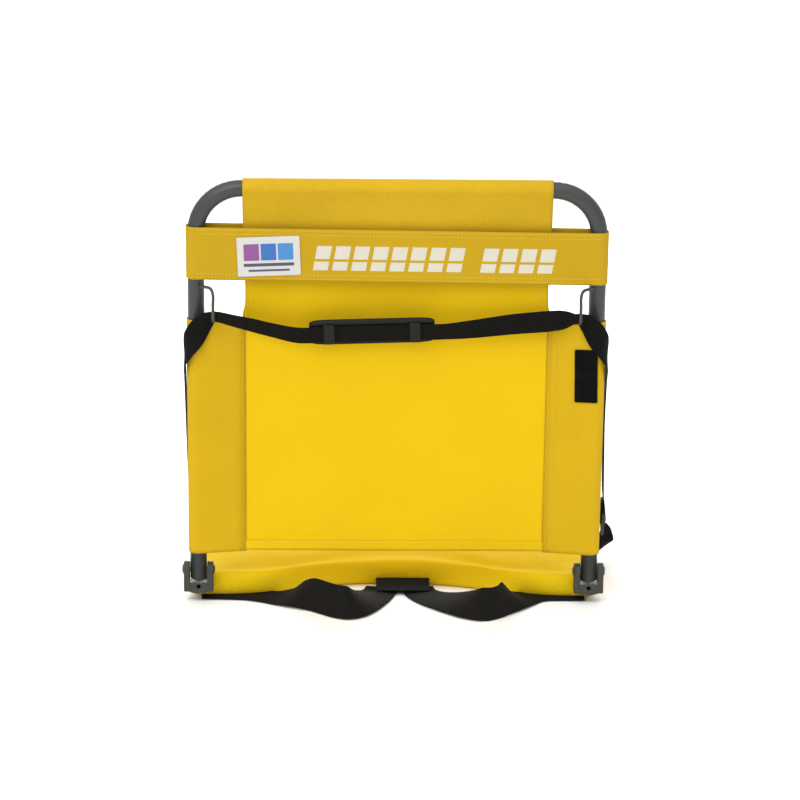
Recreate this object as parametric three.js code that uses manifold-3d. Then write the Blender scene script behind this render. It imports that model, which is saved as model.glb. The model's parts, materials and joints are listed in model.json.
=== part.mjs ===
// Folding stadium seat. An inverted U tube carries a fabric back, a second U tube lies flat inside a padded
// seat, and two clevis brackets let the back fold forward onto the seat.
// Units are millimetres. +Z is up, the sitter faces -Y, and Z = 0 is the bench that the seat rests on.
// Each piece is drawn with the pivot line along X through (0, 0, PIVOT_Z). The back is built in its own
// turned group, where Z runs up along the legs and +Y is the rear face.
import * as THREE from 'three';
import { mergeVertices } from 'three/addons/utils/BufferGeometryUtils.js';
import Module from 'manifold-3d';

const wasm = await Module();
wasm.setup();

// ---- driving dimensions -------------------------------------------------------------------------
const GAP = 0.3; // between pieces that touch
const TUBE_R = 9.5; // 19 mm steel tube
const TUBE_WALL = 1.2;
const BEND_R = 52; // centreline radius of the tube bends
const LEG_X = 224.5; // tube centreline, from the middle plane
const PIVOT_Z = 37;
const RECLINE = THREE.MathUtils.degToRad(4);
const BACK_HEIGHT = 451; // pivot to the top tube's centreline, along the legs
const LEG_END = -10; // the legs run past the pivot by this much

const SEAT_TUBE_Z = 16;
const SEAT_DEPTH = 400; // pivot to the front tube's centreline

const FABRIC = 1.2;
const SLEEVE_R = TUBE_R + GAP + 0.1 + FABRIC; // outside of a fabric sleeve on a tube
const PANEL_HALF = 172; // half width of the middle sheet
const HEM_Z = 24; // lower edge of the back
const SLEEVE_TOP = 301; // upper end of the side sleeves
const TOP_SEAM_Z = 396; // where the top sleeve is sewn to the sheet
const BAND_LOW = 344.5;
const BAND_HIGH = 404.5;
const BAND_TILT = THREE.MathUtils.degToRad(0.5); // the band rides up a little on the left leg
const BAND_LIFT = 2;

const COVER_TOP = 26; // seat cover over the side tubes
const CROWN_TOP = 31; // padded middle of the seat
const COVER_HALF = 236;
const COVER_REAR = -11; // rear corners of the cover, just in front of the brackets
const REAR_BOW = 48; // how far the cover's rear edge bows forward in the middle

const EAR_INNER = 10.1; // clevis ears, from the leg's centre
const EAR_OUTER = 16.8;
const EAR_R = 9.3;
const WEB_TOP = PIVOT_Z - 14.6;
const WEB_BOTTOM = PIVOT_Z - 25.8;
const WEB_REAR = 8;
const WEB_FRONT = -8;
const RIVET_R = 3;
const RIVET_HEAD_R = 5.7;

const HOOK_X = 204.5; // upright of each wire strap hook
const WIRE_R = 1.9;
const STRAP_WIDTH = 25;
const STRAP_THICK = 1.6;
const BENCH_STRAP_WIDTH = 38;
const ANCHOR_Y = -150; // where the carrying strap is held to the seat's side tubes

// ---- materials ----------------------------------------------------------------------------------
const finish = (color, roughness, metalness) => new THREE.MeshStandardMaterial({ color, roughness, metalness });
const powderCoat = finish(0x55595b, 0.45, 0.3);
const yellowCloth = finish(0xe8c01c, 0.85, 0);
const foamGrey = finish(0xb9b9b4, 0.95, 0);
const hingePlastic = finish(0x383836, 0.55, 0);
const darkSteel = finish(0x3c3d3d, 0.4, 0.7);
const blackWebbing = finish(0x15140f, 0.9, 0);
const padRubber = finish(0x33352f, 0.7, 0);
const labelCloth = finish(0xeeeeea, 0.8, 0);

// ---- helpers ------------------------------------------------------------------------------------
function named(name, geometry, material) {
  const mesh = new THREE.Mesh(geometry, material);
  mesh.name = name;
  return mesh;
}

function toSolid(geometry) {
  const bare = geometry.clone();
  bare.deleteAttribute('normal');
  bare.deleteAttribute('uv');
  const merged = mergeVertices(bare, 1e-4);
  const vertProperties = new Float32Array(merged.attributes.position.array);
  const triVerts = new Uint32Array(merged.index.array);
  return new wasm.Manifold(new wasm.Mesh({ numProp: 3, vertProperties, triVerts }));
}

function toGeometry(solid) {
  const mesh = solid.getMesh();
  const geometry = new THREE.BufferGeometry();
  geometry.setAttribute('position', new THREE.BufferAttribute(new Float32Array(mesh.vertProperties), 3));
  geometry.setIndex(new THREE.BufferAttribute(new Uint32Array(mesh.triVerts), 1));
  geometry.computeVertexNormals();
  return geometry;
}

const join = (first, ...rest) => toGeometry(rest.reduce((sum, g) => sum.add(toSolid(g)), toSolid(first)));
const cut = (first, ...rest) => toGeometry(rest.reduce((sum, g) => sum.subtract(toSolid(g)), toSolid(first)));

function cylinder(radius, length, sides = 24) {
  return new THREE.CylinderGeometry(radius, radius, length, sides);
}

const cylinderX = (radius, length, sides) => cylinder(radius, length, sides).rotateZ(Math.PI / 2);

// A circle as a shape or a hole. The points are given one by one, so that the section keeps `sides` sides.
function ring(Kind, radius, sides, cx = 0, cy = 0) {
  const turn = (2 * Math.PI) / sides;
  const points = Array.from({ length: sides }, (_, i) => new THREE.Vector2(
    cx + radius * Math.cos(i * turn),
    cy + radius * Math.sin(i * turn),
  ));
  return new Kind(points);
}

// A planar U: up one leg, round two bends, and down the other. Its steps fall on the ends of the bends.
class BentU extends THREE.Curve {
  constructor(half, start, reach, radius, bendSteps) {
    super();
    this.stations = [{ p: [half, start], d: Math.PI / 2 }];
    for (let i = 0; i <= bendSteps; i += 1) {
      const a = (i / bendSteps) * (Math.PI / 2);
      this.stations.push({ p: [half - radius + radius * Math.cos(a), reach - radius + radius * Math.sin(a)], d: a + Math.PI / 2 });
    }
    const mirrored = this.stations.slice().reverse().map(({ p, d }) => ({ p: [-p[0], p[1]], d: 2 * Math.PI - d }));
    this.stations.push(...mirrored);
  }

  get steps() {
    return this.stations.length - 1;
  }

  station(u) {
    return this.stations[Math.round(u * this.steps)];
  }

  getPointAt(u, target = new THREE.Vector3()) {
    const { p } = this.station(u);
    return target.set(p[0], 0, p[1]);
  }

  getTangentAt(u, target = new THREE.Vector3()) {
    const { d } = this.station(u);
    return target.set(Math.cos(d), 0, Math.sin(d));
  }
}

function bentTube(path, radius, wall) {
  const section = ring(THREE.Shape, radius, 16);
  if (wall) section.holes.push(ring(THREE.Path, radius - wall, 16));
  return new THREE.ExtrudeGeometry(section, { steps: path.steps, extrudePath: path, bevelEnabled: false });
}

// Extrudes a shape drawn in the XY plane upward from z = low to z = high.
function slab(shape, low, high, curveSegments = 8) {
  const solid = new THREE.ExtrudeGeometry(shape, { depth: high - low, bevelEnabled: false, curveSegments });
  return solid.translate(0, 0, low);
}

// Flat webbing: a long box bent along a route. Each route point is [x, y, z, ex, ey, ez], where e is the
// direction across the webbing.
function webbing(route, width, thickness, steps) {
  const line = new THREE.CatmullRomCurve3(route.map(([x, y, z]) => new THREE.Vector3(x, y, z)), false, 'centripetal');
  const across = route.map(([, , , x, y, z]) => new THREE.Vector3(x, y, z).normalize());
  const box = new THREE.BoxGeometry(width, thickness, 1, 5, 1, steps);
  const position = box.attributes.position;
  for (let i = 0; i < position.count; i += 1) {
    const t = Math.min(Math.max(position.getZ(i) + 0.5, 0), 1);
    const at = t * (route.length - 1);
    const k = Math.min(Math.floor(at), route.length - 2);
    const point = line.getPoint(t);
    const along = line.getTangent(t);
    const edge = across[k].clone().lerp(across[k + 1], at - k);
    edge.addScaledVector(along, -edge.dot(along)).normalize();
    const face = along.clone().cross(edge);
    point.addScaledVector(edge, position.getX(i)).addScaledVector(face, position.getY(i));
    position.setXYZ(i, point.x, point.y, point.z);
  }
  box.computeVertexNormals();
  return box;
}

// A fabric sleeve round a tube: its outline is an arc that ends on its tangents from the seam at x = -reach.
function teardrop(reach) {
  const outline = (Kind, radius, tip, half) => {
    const turn = Math.PI - Math.atan2(half, tip) - Math.acos(radius / Math.hypot(tip, half));
    const points = [new THREE.Vector2(-tip, half), new THREE.Vector2(-tip, -half)];
    for (let i = 0; i <= 12; i += 1) {
      const a = (i / 6 - 1) * turn;
      points.push(new THREE.Vector2(radius * Math.cos(a), radius * Math.sin(a)));
    }
    return new Kind(points);
  };
  const sleeve = outline(THREE.Shape, SLEEVE_R, reach, FABRIC + GAP);
  sleeve.holes.push(outline(THREE.Path, SLEEVE_R - FABRIC, reach - 2 * FABRIC, GAP));
  return sleeve;
}

// ---- seat frame and cover -----------------------------------------------------------------------
const seatPath = () => new BentU(LEG_X, -WEB_FRONT + GAP, SEAT_DEPTH, BEND_R, 7);
const layFlat = (geometry) => geometry.rotateX(Math.PI / 2).translate(0, 0, SEAT_TUBE_Z);
const BRACKET_PIN_Y = -22;
const BRACKET_PIN_R = 2;

function pinHoles(radius) {
  return [-1, 1].map((side) => cylinderX(radius, 40, 16).translate(side * LEG_X, BRACKET_PIN_Y, SEAT_TUBE_Z));
}

function seatFrame() {
  return cut(layFlat(bentTube(seatPath(), TUBE_R, TUBE_WALL)), ...pinHoles(BRACKET_PIN_R + GAP));
}

// The cover's plan: round front corners, small rear corners and a rear edge that bows forward.
function coverPlan(half, rear, front, frontRadius, rearRadius, bow) {
  const plan = new THREE.Shape();
  plan.moveTo(-half + frontRadius, front);
  plan.lineTo(half - frontRadius, front);
  plan.absarc(half - frontRadius, front + frontRadius, frontRadius, -Math.PI / 2, 0, false);
  plan.lineTo(half, rear - rearRadius);
  plan.absarc(half - rearRadius, rear - rearRadius, rearRadius, 0, Math.PI / 2, false);
  const ease = half / 2;
  plan.bezierCurveTo(half - rearRadius - ease, rear, ease, rear - bow, 0, rear - bow);
  plan.bezierCurveTo(-ease, rear - bow, -half + rearRadius + ease, rear, -half + rearRadius, rear);
  plan.absarc(-half + rearRadius, rear - rearRadius, rearRadius, Math.PI / 2, Math.PI, false);
  plan.lineTo(-half, front + frontRadius);
  plan.absarc(-half + frontRadius, front + frontRadius, frontRadius, Math.PI, 1.5 * Math.PI, false);
  return plan;
}

// The same outline without the doubled points where its curves meet.
function singlePoints(shape, curveSegments) {
  const points = shape.getPoints(curveSegments);
  return new THREE.Shape(points.filter((p, i) => p.distanceTo(points[(i + 1) % points.length]) > 0.01));
}

function softSlab(plan, low, high, bevel) {
  const solid = new THREE.ExtrudeGeometry(singlePoints(plan, 6), {
    depth: high - low - 2 * bevel,
    bevelThickness: bevel,
    bevelSize: bevel,
    bevelOffset: -bevel,
    bevelSegments: 2,
  });
  return solid.translate(0, 0, low + bevel);
}

const FOAM_HALF = 205;
const FOAM_LOW = 10;
const FOAM_HIGH = 22;
const COVER_FRONT = -SEAT_DEPTH - TUBE_R - 2;

function seatCover() {
  const shell = softSlab(coverPlan(COVER_HALF, COVER_REAR, COVER_FRONT, 62, 14, REAR_BOW), 0, COVER_TOP, 6);
  const crown = softSlab(coverPlan(160, -45, -360, 40, 20, 15), COVER_TOP - 12, CROWN_TOP, 4);
  const tunnel = layFlat(bentTube(seatPath(), TUBE_R + GAP, 0));
  const recesses = [-1, 1].map((side) => new THREE.BoxGeometry(116, 60, 10).translate(side * 170, -25, 0));
  const mouths = [-1, 1].map((side) => cylinder(TUBE_R + GAP, 16, 16)
    .translate(side * LEG_X, COVER_REAR + 4, SEAT_TUBE_Z));
  return toGeometry([tunnel, ...mouths, ...recesses, foamPocket()].reduce(
    (solid, tool) => solid.subtract(toSolid(tool)),
    toSolid(shell).add(toSolid(crown)),
  ));
}

// The foam lies between the tubes, and its pocket opens into the tube tunnel all round.
const foamPlan = (grow) => coverPlan(FOAM_HALF + grow, -50 + grow, -SEAT_DEPTH + 20 - grow, 34, 8, 22);
const foamPocket = () => slab(foamPlan(12), FOAM_LOW - GAP, FOAM_HIGH + GAP, 6);
const seatFoam = () => slab(foamPlan(0), FOAM_LOW, FOAM_HIGH, 6);

// ---- hinge --------------------------------------------------------------------------------------
const SPIGOT_R = TUBE_R - TUBE_WALL - GAP;
const SPIGOT_LENGTH = 36;

// Outline of an ear from the side: x runs rearward and y runs up from the pivot.
function earSide() {
  const low = WEB_BOTTOM - PIVOT_Z;
  const side = new THREE.Shape();
  side.moveTo(-EAR_R, low + 3);
  side.quadraticCurveTo(-EAR_R, low, -EAR_R + 3, low);
  side.lineTo(WEB_REAR - 3, low);
  side.quadraticCurveTo(WEB_REAR, low, WEB_REAR, low + 3);
  side.lineTo(EAR_R, 0);
  side.absarc(0, 0, EAR_R, 0, Math.PI, false);
  return side;
}

function ear(from, to) {
  const plate = new THREE.ExtrudeGeometry(earSide(), {
    depth: to - from - 1.6,
    bevelThickness: 0.8,
    bevelSize: 0.8,
    bevelOffset: -0.8,
    bevelSegments: 1,
    curveSegments: 8,
  });
  return plate.rotateY(Math.PI / 2).rotateX(Math.PI / 2).translate(from + 0.8, 0, PIVOT_Z);
}

// The web between the ears, with a rounded belly.
function web() {
  const face = new THREE.Shape();
  face.moveTo(-EAR_INNER - 2, WEB_TOP);
  face.lineTo(-EAR_INNER - 2, WEB_BOTTOM + 1);
  face.quadraticCurveTo(0, WEB_BOTTOM - 4.5, EAR_INNER + 2, WEB_BOTTOM + 1);
  face.lineTo(EAR_INNER + 2, WEB_TOP);
  const block = new THREE.ExtrudeGeometry(face, { depth: WEB_REAR - 0.5 - WEB_FRONT, bevelEnabled: false, curveSegments: 8 });
  return block.rotateX(Math.PI / 2).translate(0, WEB_REAR - 0.5, 0);
}

function hingeBracket() {
  const spigot = cylinder(SPIGOT_R, SPIGOT_LENGTH, 20).translate(0, WEB_FRONT - SPIGOT_LENGTH / 2 + 1, SEAT_TUBE_Z);
  const core = cylinder(5, SPIGOT_LENGTH, 16).translate(0, WEB_FRONT - SPIGOT_LENGTH / 2 - 2, SEAT_TUBE_Z);
  const coreHole = cylinder(2.6, 40, 16).translate(0, 0, WEB_TOP - 4.6);
  const pivotHole = cylinderX(RIVET_R + GAP, 60, 20).translate(0, 0, PIVOT_Z);
  const pinHole = cylinderX(BRACKET_PIN_R + GAP, 40, 16).translate(0, BRACKET_PIN_Y, SEAT_TUBE_Z);
  const body = join(ear(-EAR_OUTER, -EAR_INNER), ear(EAR_INNER, EAR_OUTER), web(), spigot);
  return cut(body, core, coreHole, pivotHole, pinHole);
}

function pivotRivet() {
  const end = EAR_OUTER + GAP;
  const profile = [
    [0, -end - 2], [3, -end - 1.7], [RIVET_HEAD_R - 0.6, -end - 0.9], [RIVET_HEAD_R, -end], [RIVET_R, -end],
    [RIVET_R, end], [RIVET_HEAD_R, end], [RIVET_HEAD_R - 0.6, end + 0.9], [3, end + 1.7], [0, end + 2],
  ];
  const rivet = new THREE.LatheGeometry(profile.map(([x, y]) => new THREE.Vector2(x, y)), 20);
  return rivet.rotateZ(Math.PI / 2).translate(0, 0, PIVOT_Z);
}

const bracketPin = () => cylinderX(BRACKET_PIN_R, 2 * TUBE_R - 1, 16).translate(0, BRACKET_PIN_Y, SEAT_TUBE_Z);

function hinge(sideName, side) {
  const group = new THREE.Group();
  group.add(named(`hinge_bracket_${sideName}`, hingeBracket(), hingePlastic));
  group.add(named(`pivot_rivet_${sideName}`, pivotRivet(), darkSteel));
  group.add(named(`bracket_pin_${sideName}`, bracketPin(), darkSteel));
  group.position.x = side * LEG_X;
  return group;
}

// ---- back ---------------------------------------------------------------------------------------
function backFrame() {
  const tube = bentTube(new BentU(LEG_X, LEG_END, BACK_HEIGHT, BEND_R, 7), TUBE_R, TUBE_WALL);
  return cut(tube, cylinderX(RIVET_R + GAP, 2 * LEG_X + 60, 20));
}

const backSheet = () => new THREE.BoxGeometry(2 * PANEL_HALF, FABRIC, TOP_SEAM_Z - HEM_Z)
  .translate(0, 0, (TOP_SEAM_Z + HEM_Z) / 2);

const sideSleeve = () => slab(teardrop(LEG_X - PANEL_HALF - GAP), HEM_Z - 1.5, SLEEVE_TOP);

function topSleeve() {
  const sleeve = slab(teardrop(BACK_HEIGHT - TOP_SEAM_Z - GAP), -PANEL_HALF, PANEL_HALF);
  return sleeve.rotateY(-Math.PI / 2).translate(0, 0, BACK_HEIGHT);
}

// A belt loop round both legs: a flat ring with half-round ends.
function rearBand() {
  const racetrack = (Kind, radius) => {
    const loop = new Kind();
    loop.moveTo(-LEG_X, -radius);
    loop.lineTo(LEG_X, -radius);
    loop.absarc(LEG_X, 0, radius, -Math.PI / 2, Math.PI / 2, false);
    loop.lineTo(-LEG_X, radius);
    loop.absarc(-LEG_X, 0, radius, Math.PI / 2, 1.5 * Math.PI, false);
    return loop;
  };
  const loop = racetrack(THREE.Shape, SLEEVE_R);
  loop.holes.push(racetrack(THREE.Path, SLEEVE_R - FABRIC));
  const half = (BAND_HIGH - BAND_LOW) / 2;
  return tiltBand(slab(loop, -half, half, 10));
}

const tiltBand = (geometry) => geometry.rotateY(-BAND_TILT).translate(0, 0, (BAND_LOW + BAND_HIGH) / 2 + BAND_LIFT);

// A wire hook welded to the rear of a leg: inward, then down behind the strap, then forward under it.
function strapHook(side) {
  const top = 342;
  const foot = 304.5;
  const rear = 29;
  const corner = 5;
  const points = [
    [LEG_X - 5.5, 10.6, top - 1], [HOOK_X + 8, rear - 11, top], [HOOK_X + 2.5, rear - 3.5, top],
    [HOOK_X, rear, top - corner], [HOOK_X, rear, (top + foot) / 2], [HOOK_X, rear, foot + corner],
    [HOOK_X, rear - corner, foot], [HOOK_X, rear - 2 * corner, foot],
  ];
  const path = new THREE.CatmullRomCurve3(
    points.map(([x, y, z]) => new THREE.Vector3(side * x, y, z)), false, 'centripetal',
  );
  const section = ring(THREE.Shape, WIRE_R, 8);
  return new THREE.ExtrudeGeometry(section, { steps: 26, extrudePath: path, bevelEnabled: false });
}

function label() {
  const cloth = new THREE.BoxGeometry(70, 0.6, 45).rotateY(THREE.MathUtils.degToRad(2.8));
  return tiltBand(cloth.translate(143, SLEEVE_R + GAP + 0.3, -1.5));
}

// The hook-and-loop patch lies on the slanting rear layer of the right side sleeve.
function fasteningPatch() {
  const slant = Math.atan2(SLEEVE_R - FABRIC - GAP, LEG_X - PANEL_HALF);
  const inboard = 10.5; // from the leg's centre to the patch's centre
  const patch = new THREE.BoxGeometry(26, 1.2, 62).rotateY(THREE.MathUtils.degToRad(1.2)).rotateZ(-slant);
  return patch.translate(-LEG_X + inboard, SLEEVE_R + 1 - inboard * Math.tan(slant), 238);
}

// ---- carrying strap -----------------------------------------------------------------------------
const PAD_TILT = THREE.MathUtils.degToRad(30); // the strap leans back at its upper edge along the pad
const PAD_LEAN = THREE.MathUtils.degToRad(1.9); // and climbs this much towards -X
const PAD_X = 27.5;
const PAD_Z = 290;
const STRAP_Y = 20;

const lean = (degrees) => {
  const a = THREE.MathUtils.degToRad(degrees);
  return [0, Math.sin(a), Math.cos(a)];
};

// The stretch on the back: from outside one leg, through the hooks and the pad, to outside the other leg.
const padSlope = (x) => PAD_Z - (x - PAD_X) * Math.tan(PAD_LEAN);

// From a hook outward and down, as seen on the sitter's left. The hook pinches the strap onto its edge.
const LEG_WRAP = [
  [198, 17.8, 307.2, ...lean(46)],
  [205, 17.3, 307.6, ...lean(48)],
  [211, 16.5, 305.2, 0.2, 0.62, 0.76],
  [216, 15.5, 300, 0.4, 0.42, 0.81],
  [220.5, 14.6, 293.5, 0.52, 0.2, 0.83],
  [224.5, 13.6, 286, 0.58, 0, 0.81],
  [229, 12.8, 277.5, 0.5, -0.33, 0.8],
  [233.4, 9.8, 269, 0.37, -0.65, 0.66],
  [236.6, 5.2, 260.5, 0.17, -0.82, 0.54],
  [238, -0.5, 251, 0, -0.88, 0.48],
  [238, -8, 236.2, 0, -0.89, 0.45],
];
const mirrored = ([x, y, z, ex, ey, ez]) => [-x, y, z, -ex, ey, ez];
const BACK_ROUTE = [
  ...LEG_WRAP.slice().reverse(),
  [185, 18.2, 304, ...lean(43)],
  [162, 19, 298.6, ...lean(38)],
  [138, 19.5, 292.8, ...lean(36)],
  [110, STRAP_Y, padSlope(110), ...lean(30)],
  [80, STRAP_Y, padSlope(80), ...lean(30)],
  [28, STRAP_Y, padSlope(28), ...lean(30)],
  [-25, STRAP_Y, padSlope(-25), ...lean(30)],
  [-55, STRAP_Y, padSlope(-55), ...lean(30)],
  [-85, 19, 295.5, ...lean(20)],
  [-130, 17.5, 301, ...lean(8)],
  [-165, 17.5, 304.2, ...lean(2)],
  [-182, 17.6, 306, ...lean(10)],
  [-191, 17.8, 307, ...lean(28)],
  ...LEG_WRAP.map(mirrored),
];
const carryStrapBack = () => webbing(BACK_ROUTE, STRAP_WIDTH, STRAP_THICK, 104);

function shoulderPad() {
  const half = new THREE.Vector2(70, 19);
  const outline = new THREE.Shape();
  outline.moveTo(-half.x + 6, -half.y);
  outline.lineTo(half.x - 6, -half.y);
  outline.quadraticCurveTo(half.x + 2, 0, half.x - 6, half.y);
  outline.lineTo(-half.x + 6, half.y);
  outline.quadraticCurveTo(-half.x - 2, 0, -half.x + 6, -half.y);
  return slab(outline, 0, 7, 5);
}

// A staple over the strap: its two feet stand on the pad above and below the strap.
function padKeeper() {
  const [inside, outside, reach] = [STRAP_WIDTH / 2 + 0.6, STRAP_WIDTH / 2 + 3.4, 4.6];
  const staple = new THREE.Shape();
  staple.moveTo(-outside, 0);
  staple.lineTo(-inside, 0);
  staple.lineTo(-inside, reach - 1.6);
  staple.lineTo(inside, reach - 1.6);
  staple.lineTo(inside, 0);
  staple.lineTo(outside, 0);
  staple.lineTo(outside, reach);
  staple.lineTo(-outside, reach);
  const bar = new THREE.ExtrudeGeometry(staple, { depth: 12, bevelEnabled: false });
  return bar.rotateX(Math.PI / 2).rotateZ(Math.PI / 2);
}

// The pad group's own frame has X along the strap, Y across it and Z out of its rear face.
function shoulderPadGroup() {
  const group = new THREE.Group();
  const face = STRAP_THICK / 2 + 0.5;
  group.add(named('shoulder_pad', shoulderPad().translate(0, 0, -face - 7), padRubber));
  const places = { left: -48, right: 48 }; // the group's X runs to the sitter's right
  for (const [name, x] of Object.entries(places)) {
    group.add(named(`pad_keeper_${name}`, padKeeper().translate(x - 6, 0, GAP - face), padRubber));
  }
  const along = new THREE.Vector3(Math.cos(PAD_LEAN), 0, -Math.sin(PAD_LEAN));
  const across = new THREE.Vector3(0, Math.sin(PAD_TILT), Math.cos(PAD_TILT));
  across.addScaledVector(along, -across.dot(along)).normalize();
  const out = along.clone().cross(across).negate();
  group.matrix.makeBasis(along.clone().negate(), across, out).setPosition(PAD_X, STRAP_Y, PAD_Z);
  group.matrix.decompose(group.position, group.quaternion, group.scale);
  return group;
}

function backGroup() {
  const group = new THREE.Group();
  group.add(named('back_frame', backFrame(), powderCoat));
  group.add(named('strap_hook_left', strapHook(1), powderCoat));
  group.add(named('strap_hook_right', strapHook(-1), powderCoat));
  group.add(named('back_sheet', backSheet(), yellowCloth));
  group.add(named('top_sleeve', topSleeve(), yellowCloth));
  const left = named('side_sleeve_left', sideSleeve(), yellowCloth);
  left.position.x = LEG_X;
  const right = named('side_sleeve_right', sideSleeve().rotateZ(Math.PI), yellowCloth);
  right.position.x = -LEG_X;
  group.add(left, right);
  group.add(named('rear_band', rearBand(), yellowCloth));
  group.add(named('woven_label', label(), labelCloth));
  group.add(named('fastening_patch', fasteningPatch(), blackWebbing));
  group.add(named('carry_strap_back', carryStrapBack(), blackWebbing));
  group.add(shoulderPadGroup());
  group.position.z = PIVOT_Z;
  group.rotation.x = -RECLINE;
  return group;
}

// ---- strap ends on the seat ---------------------------------------------------------------------
// The ends of the carrying strap run down and forward to the seat's sides.
const LOCK_CENTRE = new THREE.Vector3(-247.5, -107, 72);
const LOCK_HALF = 17;
const RUN_ALONG = new THREE.Vector3(0, 0.5, 0.86).normalize();
const RUN_ACROSS = [0, -0.86, 0.5];
const onLockLine = (distance) => LOCK_CENTRE.clone().addScaledVector(RUN_ALONG, distance).toArray();
const LEFT_RUN = [
  [238, 7.9, 272.4, ...RUN_ACROSS],
  [238.4, -40, 190, ...RUN_ACROSS],
  [238.8, -92, 104, ...RUN_ACROSS],
  [239.2, -130, 40, ...RUN_ACROSS],
  [239.2, -144, 16, ...RUN_ACROSS],
];
const RIGHT_RUN = [
  [-238, 7.9, 272.4, ...RUN_ACROSS],
  [-239.6, -26, 213, ...RUN_ACROSS],
  [-242.6, -56, 161, ...RUN_ACROSS],
  [-246, -86.9, 106.6, ...RUN_ACROSS],
  [...onLockLine(LOCK_HALF + 0.6), ...RUN_ACROSS],
];
const TAB_ROUTE = [
  [...onLockLine(-LOCK_HALF - 0.6), ...RUN_ACROSS],
  [-248.5, -119.5, 50.5, -0.45, -0.76, 0.45],
  [-250.5, -125, 43, -0.86, -0.46, 0.2],
  [-252, -130.5, 33.5, -0.95, -0.3, 0],
  [-251, -138, 25, -0.66, -0.75, 0],
  [-248, -143, 19, -0.36, -0.93, 0.05],
  [-243, -147, 13.5, -0.1, -1, 0.05],
];
const TAIL_ROUTE = [
  [-244.2, -101, 82, ...RUN_ACROSS],
  [-243, -92.5, 97, ...RUN_ACROSS],
  [-241.4, -83, 113, ...RUN_ACROSS],
  [-240, -73.5, 130, ...RUN_ACROSS],
];

function ladderLock() {
  const plate = new THREE.Shape();
  plate.moveTo(-LOCK_HALF, -LOCK_HALF);
  plate.lineTo(LOCK_HALF, -LOCK_HALF);
  plate.lineTo(LOCK_HALF, LOCK_HALF);
  plate.lineTo(-LOCK_HALF, LOCK_HALF);
  for (const [low, high] of [[-13.5, -9], [-4.5, 2.5], [5.5, 13]]) {
    const slot = new THREE.Path();
    slot.moveTo(-13, low);
    slot.lineTo(-13, high);
    slot.lineTo(13, high);
    slot.lineTo(13, low);
    plate.holes.push(slot);
  }
  const buckle = slab(plate, -1.5, 1.5);
  const across = new THREE.Vector3(1, 0, 0).cross(RUN_ALONG);
  const turn = new THREE.Matrix4().makeBasis(across, RUN_ALONG, across.clone().cross(RUN_ALONG));
  return buckle.applyMatrix4(turn).translate(...LOCK_CENTRE.toArray());
}

// A short fold of webbing sewn round the seat's side tube, over the cover.
function anchorPatch(side) {
  const patch = new THREE.BoxGeometry(1.6, 30, 18);
  return patch.translate(side * (COVER_HALF + GAP + 0.8), ANCHOR_Y, 13);
}

// ---- bench strap --------------------------------------------------------------------------------
// The two bench straps lie behind the seat. Each place along one is [x, y, lift]: one edge lies on the bench,
// and the other is lifted by that many degrees.
const BENCH_LEFT = [
  [221, -18, 0], [190, -17, 0], [165, -14, 0], [142, -4, 3], [124, 8, 16], [109, 21, 42], [94, 37, 66],
  [79, 54, 74], [65, 66, 74], [53, 68, 66], [43, 58, 52], [35, 40, 36], [28, 19, 22], [21, -3, 11],
  [16, -24, 4], [13, -44, 1],
];
const BENCH_RIGHT = [
  [-28, -44, 1], [-31, -24, 3], [-38, -6, 7], [-48, 10, 12], [-60, 26, 20], [-73, 43, 32], [-86, 60, 48],
  [-98, 72, 68], [-109, 74, 84], [-119, 65, 82], [-128, 47, 66], [-137, 27, 42], [-147, 7, 15],
  [-158, -8, 3], [-172, -16, 0], [-190, -18, 0], [-221, -18, 0],
];
function benchRoute(places) {
  return places.map(([x, y, lift], i) => {
    const before = places[Math.max(i - 1, 0)];
    const after = places[Math.min(i + 1, places.length - 1)];
    const run = new THREE.Vector2(after[0] - before[0], after[1] - before[1]).normalize();
    const a = THREE.MathUtils.degToRad(lift);
    const z = (BENCH_STRAP_WIDTH / 2) * Math.sin(a) + (STRAP_THICK / 2) * Math.cos(a) + 3 * GAP;
    return [x, y, z, -run.y * Math.cos(a), run.x * Math.cos(a), Math.sin(a)];
  });
}
const benchStrap = (places) => webbing(benchRoute(places), BENCH_STRAP_WIDTH, STRAP_THICK, 48);

// A flap of webbing, sewn under the cover's rear edge, that joins the two bench straps in the middle.
function benchStrapKeeper() {
  const flap = new THREE.BoxGeometry(62, 30, STRAP_THICK).rotateX(THREE.MathUtils.degToRad(-4));
  return flap.translate(-11, -38, 8.4);
}

function seatGroup() {
  const group = new THREE.Group();
  group.add(named('seat_frame', seatFrame(), powderCoat));
  group.add(named('seat_cover', seatCover(), yellowCloth));
  group.add(named('seat_foam', seatFoam(), foamGrey));
  group.add(hinge('left', 1), hinge('right', -1));
  group.add(named('carry_strap_left', webbing(LEFT_RUN, STRAP_WIDTH, STRAP_THICK, 24), blackWebbing));
  group.add(named('carry_strap_right', webbing(RIGHT_RUN, STRAP_WIDTH, STRAP_THICK, 20), blackWebbing));
  group.add(named('ladder_lock', ladderLock(), hingePlastic));
  group.add(named('strap_tab', webbing(TAB_ROUTE, STRAP_WIDTH, STRAP_THICK, 30), blackWebbing));
  group.add(named('strap_tail', webbing(TAIL_ROUTE, STRAP_WIDTH, STRAP_THICK, 8), blackWebbing));
  group.add(named('strap_anchor_left', anchorPatch(1), blackWebbing));
  group.add(named('strap_anchor_right', anchorPatch(-1), blackWebbing));
  group.add(named('bench_strap_left', benchStrap(BENCH_LEFT), blackWebbing));
  group.add(named('bench_strap_right', benchStrap(BENCH_RIGHT), blackWebbing));
  group.add(named('bench_strap_keeper', benchStrapKeeper(), blackWebbing));
  return group;
}

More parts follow.
